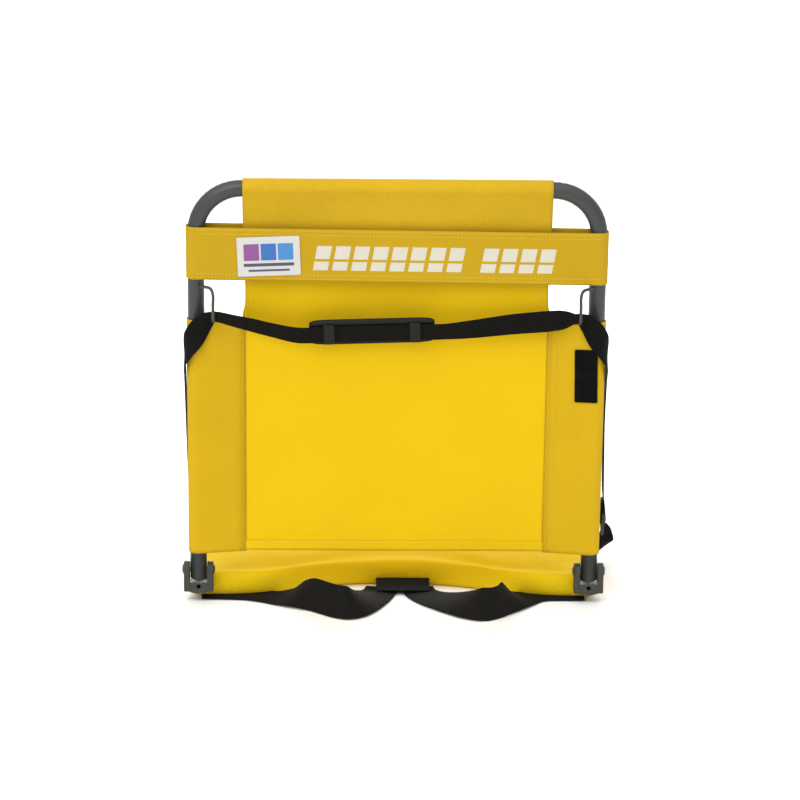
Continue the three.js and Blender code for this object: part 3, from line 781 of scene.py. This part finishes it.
# Each place of a run is a point and the direction across the strap there. A run on the back is in the
# back's axes, and a run at the side is in the seat's: x across, y behind the pivot, z up from the bench.
LEG_WRAP = [
    ((0.198, 0.0178, 0.3072), lean(46)), ((0.205, 0.0173, 0.3076), lean(48)),
    ((0.211, 0.0165, 0.3052), (0.2, 0.62, 0.76)), ((0.216, 0.0155, 0.300), (0.4, 0.42, 0.81)),
    ((0.2205, 0.0146, 0.2935), (0.52, 0.2, 0.83)), ((0.2245, 0.0136, 0.286), (0.58, 0, 0.81)),
    ((0.229, 0.0128, 0.2775), (0.5, -0.33, 0.8)), ((0.2334, 0.0098, 0.269), (0.37, -0.65, 0.66)),
    ((0.2366, 0.0052, 0.2605), (0.17, -0.82, 0.54)), ((0.238, -0.0005, 0.251), (0, -0.88, 0.48)),
    ((0.238, -0.008, 0.2362), (0, -0.89, 0.45)),
]
BACK_RUN = LEG_WRAP[::-1] + [
    ((0.185, 0.0182, 0.304), lean(43)), ((0.162, 0.019, 0.2986), lean(38)),
    ((0.138, 0.0195, 0.2928), lean(36)), (pad_line(0.110), lean(30)), (pad_line(0.080), lean(30)),
    (pad_line(0.028), lean(30)), (pad_line(-0.025), lean(30)), (pad_line(-0.055), lean(30)),
    ((-0.085, 0.019, 0.2955), lean(20)), ((-0.130, 0.0175, 0.301), lean(8)),
    ((-0.165, 0.0175, 0.3042), lean(2)), ((-0.182, 0.0176, 0.306), lean(10)),
    ((-0.191, 0.0178, 0.307), lean(28)),
] + [other_side(place) for place in LEG_WRAP]
TAB_RUN = [
    (at_lock(-5, -1), RUN), (at_lock(-11, 0), RUN), (at_lock(-17.6, 0), RUN),
    ((-0.2485, -0.1195, 0.0505), (-0.45, -0.76, 0.45)), ((-0.2505, -0.125, 0.043), (-0.86, -0.46, 0.2)),
    ((-0.252, -0.1305, 0.0335), (-0.95, -0.3, 0)), ((-0.251, -0.138, 0.025), (-0.66, -0.75, 0)),
    ((-0.248, -0.143, 0.019), (-0.36, -0.93, 0.05)), ((-0.243, -0.147, 0.0135), (-0.1, -1, 0.05)),
]
BENCH_WIDTH = 38 * MM
# Each place of a bench strap is (x, y, degrees): one edge lies on the bench and the other is lifted.
BENCH_LEFT = [
    (0.221, -0.018, 0), (0.190, -0.017, 0), (0.165, -0.014, 0), (0.142, -0.004, 3), (0.124, 0.008, 16),
    (0.109, 0.021, 42), (0.094, 0.037, 66), (0.079, 0.054, 74), (0.065, 0.066, 74), (0.053, 0.068, 66),
    (0.043, 0.058, 52), (0.035, 0.040, 36), (0.028, 0.019, 22), (0.021, -0.003, 11), (0.016, -0.024, 4),
    (0.013, -0.044, 1),
]
BENCH_RIGHT = [
    (-0.028, -0.044, 1), (-0.031, -0.024, 3), (-0.038, -0.006, 7), (-0.048, 0.010, 12), (-0.060, 0.026, 20),
    (-0.073, 0.043, 32), (-0.086, 0.060, 48), (-0.098, 0.072, 68), (-0.109, 0.074, 84), (-0.119, 0.065, 82),
    (-0.128, 0.047, 66), (-0.137, 0.027, 42), (-0.147, 0.007, 15), (-0.158, -0.008, 3), (-0.172, -0.016, 0),
    (-0.190, -0.018, 0), (-0.221, -0.018, 0),
]


def placed(route, place):
    """The route, moved to world axes."""
    turn = place.to_3x3()
    return [(place @ Vector(p), (turn @ Vector(e)).normalized()) for p, e in route]


def bench_route(places):
    lift = 0.9 * MM
    route = []
    for i, (x, y, degrees) in enumerate(places):
        before = places[max(i - 1, 0)]
        after = places[min(i + 1, len(places) - 1)]
        run = Vector((after[0] - before[0], after[1] - before[1])).normalized()
        a = math.radians(degrees)
        z = BENCH_WIDTH / 2 * math.sin(a) + STRAP_THICK / 2 * math.cos(a) + lift
        route.append(((x, y, z), (-run.y * math.cos(a), run.x * math.cos(a), math.sin(a))))
    return placed(route, SEAT)


def path_length(path):
    return sum((b - a).length for a, b in zip(path, path[1:]))


def carrying_strap():
    threading = [(at_lock(*place), RUN) for place in THREADING]
    route = placed(LEFT_RUN, SEAT) + placed(BACK_RUN, BACK) + placed(RIGHT_RUN + threading, SEAT)
    strap, path = webbing("carrying_strap", route, STRAP_WIDTH, STRAP_THICK, "webbing")
    tab, _ = webbing("adjuster_tab", placed(TAB_RUN, SEAT), STRAP_WIDTH, STRAP_THICK, "webbing")
    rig.ride(tab, "seat")
    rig.replaces(tab, "strap_tab")
    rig.slot(tab, "black_webbing")
    low, high = Vector((0, PIVOT_Y, 0.14)), Vector((0, PIVOT_Y, 0.275))
    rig.blend(strap, "seat", "back", start=low, end=high)
    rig.replaces(strap, "carry_strap_back", "carry_strap_left", "carry_strap_right", "strap_tail")
    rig.slot(strap, "black_webbing")
    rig.cord(strap, exit=path[0], length=path_length(path), diameter=STRAP_WIDTH, far_end="bare",
            stiffness="medium", lay="loose", path=path, with_pieces=[tab, buckle()])


def bench_strap(name, places):
    route = bench_route(places)
    strap, path = webbing(f"{name}_webbing", route, BENCH_WIDTH, STRAP_THICK, "bench_webbing", 6)
    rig.ride(strap, "seat")
    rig.replaces(strap, name)
    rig.slot(strap, "black_webbing")
    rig.cord(strap, exit=path[0], length=path_length(path), diameter=BENCH_WIDTH, far_end="object",
            stiffness="medium", lay="loose", path=path)


def buckle():
    """The ladder lock: a moulded frame with three slots."""
    outline = rounded_box(34 * MM, 34 * MM, 3 * MM)
    slots = [(-11.25, 4.5), (-1, 7), (9.25, 7.5)]
    holes = []
    for at, tall in slots:
        holes.append([(x, y + at * MM) for x, y in rounded_box(26 * MM, tall * MM, 1.2 * MM)])
    across = Vector((1, 0, 0)).cross(LOCK_ALONG)
    out = across.cross(LOCK_ALONG)
    place = Matrix((across, LOCK_ALONG, out)).transposed().to_4x4()
    place.translation = middle("ladder_lock")
    lock = flat_shape("ladder_lock_moulded", [outline, *holes], 3.2 * MM, 0.9 * MM, "plastic", place)
    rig.ride(lock, "seat")
    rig.replaces(lock, "ladder_lock")
    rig.slot(lock, "hinge_plastic")
    return lock


# ---- cloth of the back ----
def panel_depth(x, h):
    """How far the middle sheet stands out of the plane between the legs."""
    u = x / PANEL_HALF
    low = smoothstep(h, HEM_H, HEM_H + 60 * MM)
    slack = 2.5 * (1 - u * u) * low
    upper = smoothstep(h, 330 * MM, 392 * MM)
    creases = 0.9 * wrinkle(x, h, 90 * MM, 3.1) + 0.35 * wrinkle(x, h, 30 * MM, 7.7)
    edge = 1 - smoothstep(abs(u), 0.86, 1.0)
    return (-slack * (1 - upper) + creases * (0.25 + 0.75 * edge)) * MM


def panel_half(h):
    """The sheet is a little narrower between the side sleeves and the band, and flares where they join."""
    flare = math.exp(-((h - 303 * MM) / (9 * MM)) ** 2)
    return PANEL_HALF - (2.2 - 4 * flare) * MM * smoothstep(h, 290 * MM, 318 * MM)


def back_panel():
    rows = []
    for h in span(HEM_H, TOP_SEAM_H, 94):
        half = panel_half(h)
        rows.append([(x, panel_depth(x, h), h) for x in span(-half, half, 86)])
    panel = thicken(surface("back_panel", rows, "yellow_back", BACK), CLOTH_THICK)
    hem_rows = []
    for h in (HEM_H, HEM_H + 4 * MM, HEM_H + 11 * MM, HEM_H + 12 * MM):
        half = panel_half(h)
        hem_rows.append([(x, panel_depth(x, h) + 1.1 * MM, h) for x in span(-half, half, 86)])
    hem = thicken(surface("back_panel_hem", hem_rows, "yellow_back", BACK), 0.9 * MM)
    for piece in (panel, hem):
        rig.ride(piece, "back")
        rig.slot(piece, "yellow_cloth")
    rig.replaces(panel, "back_sheet")
    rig.sheet(panel, flat=(2 * PANEL_HALF, TOP_SEAM_H - HEM_H), held="stretched",
             rests_on=["back_frame"], with_pieces=[hem])


def drop(reach, radius, tip):
    """A sleeve's section round a tube: from the seam, at -reach, along a tangent to the tube, round it and
    back. Each pair is (away from the seam, out)."""
    turn = math.pi - math.atan2(tip, reach) - math.acos(radius / math.hypot(reach, tip))
    x, y = radius * math.cos(turn), radius * math.sin(turn)
    shares = (0, 0.2, 0.4, 0.6, 0.8)
    upper = [(-reach + (x + reach) * share, tip + (y - tip) * share) for share in shares]
    arc = [(radius * math.cos(a), radius * math.sin(a)) for a in span(-turn, turn, 29)]
    return [(a, -b) for a, b in upper] + arc + upper[::-1]


def sleeve_skin(name, reach, stations, where, look, seed, loose, closing=0.0):
    """A sleeve of cloth: the section of drop() carried along stations, a little slack and creased. Its two
    layers draw together, by the share closing, between the tube and the seam."""
    outline = drop(reach, SLEEVE_R - CLOTH_THICK / 2, 1.2 * MM)
    rows = []
    for s in stations:
        row = []
        for k, (a, b) in enumerate(outline):
            share = k / (len(outline) - 1)
            free = math.sin(math.pi * min(share, 1 - share) * 2)
            layer = 7 if share > 0.5 else 0
            crease = 0.8 * wrinkle(s, a, 55 * MM, seed + layer) + 0.4 * wrinkle(s, a, 18 * MM, seed + 3)
            pinch = closing * math.sin(math.pi * min(max(-a / reach, 0), 1))
            push = (1 - pinch) * (1 + loose * free * crease * 0.06)
            row.append(where(s, a * (1 + 0.004 * crease * loose), b * push))
        rows.append(row)
    return thicken(surface(name, rows, look, BACK), CLOTH_THICK)


def side_sleeve(side, name):
    """side is 1 on the left and -1 on the right."""
    reach = LEG_X - PANEL_HALF + SEAM_LAP
    stations = span(HEM_H - 1 * MM, SLEEVE_TOP, 60)

    def where(h, a, b):
        return side * (LEG_X + a), b, h

    sleeve = sleeve_skin(name + "_cloth", reach, stations, where, "yellow_sleeve", 11 + side, 1.0)
    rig.ride(sleeve, "back")
    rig.replaces(sleeve, name)
    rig.slot(sleeve, "yellow_cloth")
    around = 2 * reach + math.pi * SLEEVE_R
    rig.sheet(sleeve, flat=(around, SLEEVE_TOP - HEM_H), held="stretched", rests_on=["back_frame"])


def top_sleeve():
    reach = BACK_HEIGHT - TOP_SEAM_H + SEAM_LAP
    stations = span(-PANEL_HALF, PANEL_HALF, 90)

    def where(x, a, b):
        return x, b, BACK_HEIGHT + a

    sleeve = sleeve_skin("top_sleeve_cloth", reach, stations, where, "yellow_top", 23, 3.0, closing=0.5)
    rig.ride(sleeve, "back")
    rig.replaces(sleeve, "top_sleeve")
    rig.slot(sleeve, "yellow_cloth")
    around = 2 * reach + math.pi * SLEEVE_R
    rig.sheet(sleeve, flat=(2 * PANEL_HALF, around), held="stretched", rests_on=["back_frame"])


def band_bulge(x, h):
    """How far the band's rear layer stands out of the flat plane that touches both legs."""
    u = x / LEG_X
    v = (h - BAND_LOW) / (BAND_HIGH - BAND_LOW)
    hold = 1 - u * u
    return (0.5 * wrinkle(x, h, 60 * MM, 5.5) * hold - 0.5 * hold * math.sin(math.pi * v)) * MM


def band_height(x, h):
    """The band rides up a little on the left leg."""
    return h + BAND_LIFT + x * math.tan(BAND_TILT)


def band_line():
    """The band's closed line round both legs, as (x, y) pairs."""
    radius = SLEEVE_R - CLOTH_THICK / 2
    bend = [(LEG_X + radius * math.sin(a), radius * math.cos(a)) for a in span(0, math.pi, 12)[1:-1]]
    rear = [(x, radius) for x in span(LEG_X, -LEG_X, 90)]
    right = [(-x, y) for x, y in bend]
    front = [(x, -radius) for x in span(-LEG_X, LEG_X, 60)]
    left = bend[::-1]
    return rear + right + front + left


def rear_band():
    height = BAND_HIGH - BAND_LOW
    rows = []
    for v in span(0, 1, 25):
        h = BAND_LOW + height * v
        row = []
        for x, y in band_line():
            bulge = band_bulge(x, h) if abs(x) < LEG_X else 0
            row.append((x, y + math.copysign(1, y) * bulge, band_height(x, h)))
        rows.append(row)
    band = thicken(surface("rear_band_cloth", rows, "yellow_band", BACK, closed=True), CLOTH_THICK)
    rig.ride(band, "back")
    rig.replaces(band, "rear_band")
    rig.slot(band, "yellow_cloth")
    around = 4 * LEG_X + 2 * math.pi * SLEEVE_R
    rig.sheet(band, flat=(around, height), held="stretched", rests_on=["back_frame"])


def band_face(x, h, above):
    """A place on the band's rear face."""
    return BACK @ Vector((x, SLEEVE_R + band_bulge(x, h) + above, band_height(x, h)))


def printed_bars():
    """A row of plain slanted bars printed on the band, in two groups."""
    low, high, slant = 357.5 * MM, 385.5 * MM, 5 * MM
    width, pitch, ink = 16.5 * MM, 21.2 * MM, 0.12 * MM
    columns, levels = 6, 4
    points, faces = [], []
    starts = [94 * MM - i * pitch for i in range(8)] + [-92 * MM - i * pitch for i in range(4)]
    for left in starts:
        for bottom, top in ((0.0, 0.36), (0.46, 1.0)):
            base = len(points)
            for v in span(bottom, top, levels):
                h = low + (high - low) * v
                for x in span(left, left - width, columns):
                    points.append(band_face(x - slant * v, h, ink))
            faces += [tuple(base + k for k in face) for face in grid_faces(levels, columns)]
    bars = thicken(new_piece("printed_bars", points, faces, "print", smooth=False), ink)
    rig.ride(bars, "back")


def label():
    """A plain label with three colour blocks and two lines."""
    tilt = Matrix.Rotation(math.radians(2.8) - BAND_TILT, 4, "Y")
    flat = Matrix.Rotation(math.radians(-90), 4, "X") @ Matrix.Rotation(math.pi, 4, "Z")
    place = Matrix.Translation(middle("woven_label")) @ BACK_TURN @ tilt @ flat
    outline = rounded_box(70 * MM, 45 * MM, 1.5 * MM)
    ribbon = flat_shape("woven_label_ribbon", [outline], 0.7 * MM, 0.2 * MM, "label", place)
    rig.ride(ribbon, "back")
    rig.replaces(ribbon, "woven_label")
    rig.slot(ribbon, "label_cloth")
    blocks = [(x, 5, 17, 19, ink) for x, ink in ((-19, "plum"), (0, "blue"), (19, "sky"))]
    lines = [(0, -9.5, 56, 3.5, "grey"), (0, -16, 46, 2.2, "grey")]
    for i, (x, y, width, height, ink) in enumerate(blocks + lines):
        lift = Matrix.Translation((x * MM, y * MM, 0.45 * MM))
        outline = rounded_box(width * MM, height * MM, 0.8 * MM)
        mark = flat_shape(f"label_mark_{i}", [outline], 0.3 * MM, 0.08 * MM, ink, place @ lift)
        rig.ride(mark, "back")


def patch():
    """The hook-and-loop patch, flat on the slanting rear face of the right sleeve."""
    slant = Matrix.Rotation(-math.atan2(SLEEVE_R - 1.5 * MM, LEG_X - PANEL_HALF), 4, "Z")
    tilt = Matrix.Rotation(math.radians(1.2), 4, "Y")
    flat = Matrix.Rotation(math.radians(-90), 4, "X")
    centre = Matrix.Translation(middle("fastening_patch"))
    place = centre @ BACK_TURN @ slant @ tilt @ flat
    outline = rounded_box(26 * MM, 62 * MM, 1.2 * MM)
    piece = flat_shape("hook_patch", [outline], 1.8 * MM, 0.5 * MM, "patch", place)
    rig.ride(piece, "back")
    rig.replaces(piece, "fastening_patch")
    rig.slot(piece, "black_webbing")


# ---- shoulder pad ----
def pad_place():
    """The pad's own axes: x along it, y across it and z out, with the strap's middle at zero."""
    along = Vector((math.cos(PAD_LEAN), 0, -math.sin(PAD_LEAN)))
    across = Vector((0, math.sin(PAD_TILT), math.cos(PAD_TILT)))
    across = (across - along * across.dot(along)).normalized()
    out = -along.cross(across)
    place = Matrix((-along, across, out)).transposed().to_4x4()
    place.translation = (PAD_X, STRAP_Y, PAD_H)
    return BACK @ place


def ease_off(share, power):
    """1 in the middle, falling to 0 at either end: the larger the power, the squarer the shoulder."""
    return math.sqrt(max(0.0, 1 - abs(share) ** power))


def shoulder_pad():
    """A moulded pad under the strap: a raised rim along both edges and rounded ends."""
    half_length, half_width = 70 * MM, 19 * MM
    seam = PAD_FACE - 3.2 * MM
    rows = []
    for s in span(-1, 1, 41):
        end = ease_off(s, 10)
        tall = half_width * (0.8 + 0.2 * end)
        full = 0.35 + 0.65 * end
        row = []
        for w in span(-1, 1, 21):
            rim = 1.6 * MM * smoothstep(abs(w), 0.74, 0.86)
            row.append((s * half_length, w * tall, seam + (2.6 * MM + rim) * ease_off(w, 14) * full))
        for w in reversed(span(-1, 1, 21)[1:-1]):
            row.append((s * half_length, w * tall, seam - 3.6 * MM * ease_off(w, 6) * full))
        rows.append(row)
    count = len(rows[0])
    points = [p for row in rows for p in row]
    faces = grid_faces(len(rows), count, closed=True)
    faces.append(tuple(reversed(range(count))))
    faces.append(tuple(range(len(points) - count, len(points))))
    pad = new_piece("shoulder_pad_moulded", points, faces, "rubber", pad_place())
    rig.ride(pad, "pad")
    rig.replaces(pad, "shoulder_pad")
    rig.slot(pad, "pad_rubber")
    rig.padded(pad, fill=0.9)


def pad_keeper(name, x):
    """A flat moulded loop over the strap."""
    inside, tall, corner = STRAP_WIDTH / 2 + 1.7 * MM, 3.3 * MM, 1.4 * MM
    foot, shoulder, top = PAD_FACE - 0.5 * MM, PAD_FACE + tall * 0.7, PAD_FACE + tall
    rise = [(-inside, foot), (-inside, shoulder), (-inside + corner, top)]
    arch = rise + [(-a, b) for a, b in reversed(rise)]
    path = spline([Vector((x, a, b)) for a, b in arch], 4)
    section = rounded_box(12 * MM, 1.5 * MM, 0.7 * MM, 3)
    loop = sweep(name + "_moulded", [p for p, *_ in path], [t for _, t, *_ in path],
                 [Vector((1, 0, 0))] * len(path), section, "rubber")
    loop.data.transform(pad_place())
    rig.ride(loop, "pad")
    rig.replaces(loop, name)
    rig.slot(loop, "pad_rubber")


# ---- metalwork ----
def u_line(half, start, reach):
    """A U as (x, y, direction) places: up one leg, round two bends and down the other."""
    cx, cy = half - BEND_R, reach - BEND_R
    first = [(half, start, math.pi / 2)]
    for a in span(0, math.pi / 2, 14):
        first.append((cx + BEND_R * math.cos(a), cy + BEND_R * math.sin(a), a + math.pi / 2))
    return first + [(-x, y, 2 * math.pi - d) for x, y, d in reversed(first)]


def bent_tube(name, node, line, place, body):
    wall, sides = 1.2 * MM, 32
    turn = place.to_3x3()
    centres = [place @ Vector((x, 0, y)) for x, y, _ in line]
    tangents = [(turn @ Vector((math.cos(d), 0, math.sin(d)))).normalized() for *_, d in line]
    side = (turn @ Vector((0, 1, 0))).normalized()
    firsts = [side] * len(line)
    outer = sweep(name, centres, tangents, firsts, circle(TUBE_R, sides), "powder")
    inner = sweep(name + "_bore", centres, tangents, firsts, circle(TUBE_R - wall, sides), "powder")
    tube = hollow(outer, inner, sides, "powder")
    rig.ride(tube, body)
    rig.replaces(tube, node)
    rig.slot(tube, "powder_coat")


def frames():
    bent_tube("back_tube", "back_frame", u_line(LEG_X, -10 * MM, BACK_HEIGHT), BACK, "back")
    flat = SEAT @ Matrix.Translation((0, 0, SEAT_TUBE_Z)) @ Matrix.Rotation(math.pi / 2, 4, "X")
    bent_tube("seat_tube", "seat_frame", u_line(LEG_X, 8.3 * MM, SEAT_DEPTH), flat, "seat")


def wire_hook(side, name):
    """The wire leaves the leg, turns down behind the strap and turns in again. Lengths are millimetres."""
    top, foot, rear, corner, upright = 342, 304.5, 29, 5, 204.5
    points = [(219, 10.6, top - 1), (upright + 8, rear - 11, top), (upright + 2.5, rear - 3.5, top)]
    points += [(upright, rear, h) for h in (top - corner, (top + foot) / 2, foot + corner)]
    points += [(upright, rear - corner, foot), (upright, rear - 2 * corner, foot)]
    line = [back_point(side * x * MM, y * MM, h * MM) for x, y, h in points]
    hook = rod(name + "_wire", line, 1.9 * MM, "powder")
    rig.ride(hook, "back")
    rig.replaces(hook, name)
    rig.slot(hook, "powder_coat")


# ---- seat cushion ----
COVER_LOW, COVER_HIGH = corners("seat_cover")
SEAM_Z = 13 * MM


def quarter(cx, cy, radius, start, steps):
    """A quarter of a circle, turning left from the angle start."""
    angles = [start + i / steps * math.pi / 2 for i in range(steps + 1)]
    return [(cx + radius * math.cos(a), cy + radius * math.sin(a)) for a in angles]


def cover_outline():
    """The cover's plan, as in the frame: round front corners and a rear edge that bows forward."""
    half, rear, front = COVER_HIGH.x, COVER_HIGH.y, COVER_LOW.y
    big, small, bow, ease = 62 * MM, 14 * MM, 48 * MM, COVER_HIGH.x / 2
    loop = [(x, front) for x in span(0, half - big, 12)[:-1]]
    loop += quarter(half - big, front + big, big, -math.pi / 2, 10)
    loop += [(half, y) for y in span(front + big, rear - small, 14)[1:-1]]
    loop += quarter(half - small, rear - small, small, 0, 4)
    p0, p1, p2, p3 = (half - small, rear), (half - small - ease, rear), (ease, rear - bow), (0, rear - bow)
    for t in span(0, 1, 22)[1:]:
        s = 1 - t
        loop.append(tuple(s ** 3 * a + 3 * s * s * t * b + 3 * s * t * t * c + t ** 3 * d
                          for a, b, c, d in zip(p0, p1, p2, p3)))
    return loop + [(-x, y) for x, y in reversed(loop[1:-1])]


def rounded(depth, radius):
    """The height share of a rounded edge, at this depth in from it."""
    return math.sqrt(max(0.0, 1 - (1 - min(depth / radius, 1)) ** 2))


def cushion_height(x, y, depth):
    """Top of the cushion: a rolled edge, the ridges of the side tubes and a padded middle."""
    roll = rounded(depth, 11 * MM)
    middle_pad = smoothstep(depth, 34 * MM, 84 * MM)
    valley = math.exp(-((depth - 33 * MM) / (11 * MM)) ** 2)
    creases = 0.8 * wrinkle(x, y, 42 * MM, 2.2) + 0.45 * wrinkle(x, y, 17 * MM, 4.4)
    off_tube = min(abs(abs(x) - LEG_X), abs(y - (PIVOT_Y - SEAT_DEPTH)))
    slack = 0.1 + 1.1 * smoothstep(off_tube, 20 * MM, 48 * MM)
    top = SEAM_Z + roll * (14.4 * MM + (4 * middle_pad - 2 * valley) * MM)
    return top + creases * slack * MM * roll


def seat_cushion():
    """Rings of points from the middle of the underside out to the edge and in again over the top."""
    outline = cover_outline()
    centre = Vector((0, (COVER_HIGH.y + COVER_LOW.y) / 2 - 10 * MM))
    shares = [0, 0.006, 0.014, 0.026, 0.042, 0.062, 0.09, 0.125, 0.17, 0.23, 0.31, 0.42, 0.55, 0.7, 0.85]
    count = len(outline)
    underside = 0.05 * MM

    def low(x, y, depth):
        return max(SEAM_Z - SEAM_Z * rounded(depth, 8 * MM), underside)

    def ring(share, height):
        row = []
        for edge in outline:
            p = centre + (Vector(edge) - centre) * (1 - share)
            row.append((p.x, p.y, height(p.x, p.y, (Vector(edge) - p).length)))
        return row

    rows = [ring(share, low) for share in reversed(shares)]
    rows += [ring(share, cushion_height) for share in shares[1:]]
    points = [p for row in rows for p in row]
    faces = grid_faces(len(rows), count, closed=True)
    points.append((centre.x, centre.y, underside))
    points.append((centre.x, centre.y, cushion_height(0, centre.y, 0.2)))
    low_tip, high_tip = len(points) - 2, len(points) - 1
    last = (len(rows) - 1) * count
    for i in range(count):
        k = (i + 1) % count
        faces.append((low_tip, k, i))
        faces.append((high_tip, last + i, last + k))
    cushion = refine(new_piece("seat_cushion", points, faces, "yellow_seat"))
    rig.ride(cushion, "seat")
    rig.replaces(cushion, "seat_cover", "seat_foam")
    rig.slot(cushion, "yellow_cloth")
    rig.padded(cushion, fill=0.5)


def bench_flap():
    """The webbing flap under the cushion's rear edge that holds the bench strap."""
    low, high = corners("bench_strap_keeper")
    centre = (low + high) / 2
    line = [(high.y + 3 * MM, 5.2 * MM), (high.y - 8 * MM, 6.6 * MM), (centre.y, 8.2 * MM), (low.y, 9.6 * MM),
            (low.y - 8 * MM, 8 * MM)]
    route = [(Vector((centre.x, y, z)), Vector((1, 0, 0))) for y, z in line]
    flap, _ = webbing("bench_strap_flap", route, high.x - low.x, 1.5 * MM, "bench_webbing")
    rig.ride(flap, "seat")
    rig.replaces(flap, "bench_strap_keeper")
    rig.slot(flap, "black_webbing")


def anchors():
    """A short tag of webbing over each sewn end of the carrying strap."""
    for name in ("strap_anchor_left", "strap_anchor_right"):
        low, high = corners(name)
        place = Matrix.Translation((low + high) / 2) @ Matrix.Rotation(math.pi / 2, 4, "Y")
        outline = rounded_box(high.z - low.z, high.y - low.y, 1 * MM)
        tag = flat_shape(name + "_tag", [outline], 1.6 * MM, 0.4 * MM, "bench_webbing", place)
        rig.ride(tag, "seat")
        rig.replaces(tag, name)
        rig.slot(tag, "black_webbing")


# ---- stitching ----
def seam_line(x_at, depth, low, high, rise):
    """Points up the back at x_at(h), raised by rise from the depth of the cloth there."""
    return [back_point(x_at(h), depth(x_at(h), h) + rise, h) for h in span(low, high, 50)]


def flap_depth(x, h):
    """The rear face of a side sleeve, which slants from its seam to the tube."""
    slope = (SLEEVE_R - 1.7 * MM) / (LEG_X - PANEL_HALF + SEAM_LAP)
    return 1.9 * MM + (abs(x) - PANEL_HALF + SEAM_LAP) * slope


def stitching():
    out = (BACK_TURN @ Vector((0, 1, 0))).normalized()
    for i, inset in enumerate((2.5 * MM, 7 * MM)):
        for edge, h in (("low", BAND_LOW + inset), ("high", BAND_HIGH - inset)):
            line = [band_face(x, h, -0.1 * MM) for x in span(-LEG_X, LEG_X, 60)]
            stitches(f"band_stitch_{edge}_{i}", line, out)
    flap_top = SLEEVE_TOP - 2 * MM
    seams = {
        "panel": (lambda h: PANEL_HALF - 3 * MM, panel_depth, HEM_H + 12 * MM, SLEEVE_TOP, 0.5 * MM),
        "flap_seam": (lambda h: PANEL_HALF + 1 * MM, flap_depth, HEM_H, flap_top, 0.1 * MM),
        "flap_hem": (lambda h: PANEL_HALF + 9 * MM, flap_depth, HEM_H, flap_top, 0.2 * MM),
        "upper": (lambda h: panel_half(h) - 7 * MM, panel_depth, SLEEVE_TOP + 4 * MM, TOP_SEAM_H - 4 * MM,
                  0.5 * MM),
    }
    for side, hand in ((1, "left"), (-1, "right")):
        for name, (from_middle, depth, low, high, rise) in seams.items():
            line = seam_line(lambda h: side * from_middle(h), depth, low, high, rise)
            stitches(f"{name}_stitch_{hand}", line, out)
    half = PANEL_HALF - 1 * MM
    for i, h in enumerate((HEM_H + 3 * MM, HEM_H + 9.5 * MM)):
        line = [back_point(x, panel_depth(x, h) + 1.6 * MM, h) for x in span(-half, half, 60)]
        stitches(f"hem_stitch_{i}", line, out)


def dress_cad():
    """Gives the CAD nodes that stay in view their materials."""
    looks = {"hinge_plastic": "plastic", "dark_steel": "zinc", "powder_coat": "powder"}
    slots = {s["node"]: s["material_slot"] for s in frame["record"]["subparts"]}
    for node, thing in frame["nodes"].items():
        look = looks.get(slots[node])
        if look and not thing.hide_render:
            thing.data.materials.clear()
            thing.data.materials.append(LOOKS[look])


carrying_strap()
bench_strap("bench_strap_left", BENCH_LEFT)
bench_strap("bench_strap_right", BENCH_RIGHT)
frames()
for hand, hook_name in ((1, "strap_hook_left"), (-1, "strap_hook_right")):
    wire_hook(hand, hook_name)
back_panel()
side_sleeve(1, "side_sleeve_left")
side_sleeve(-1, "side_sleeve_right")
top_sleeve()
rear_band()
printed_bars()
label()
patch()
shoulder_pad()
pad_keeper("pad_keeper_left", -48 * MM)
pad_keeper("pad_keeper_right", 48 * MM)
seat_cushion()
bench_flap()
anchors()
stitching()
dress_cad()

with open("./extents.json", "w") as sizes:
    json.dump({"cad": CAD_BOX, "visual": [list(corner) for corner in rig.bounds()]}, sizes)
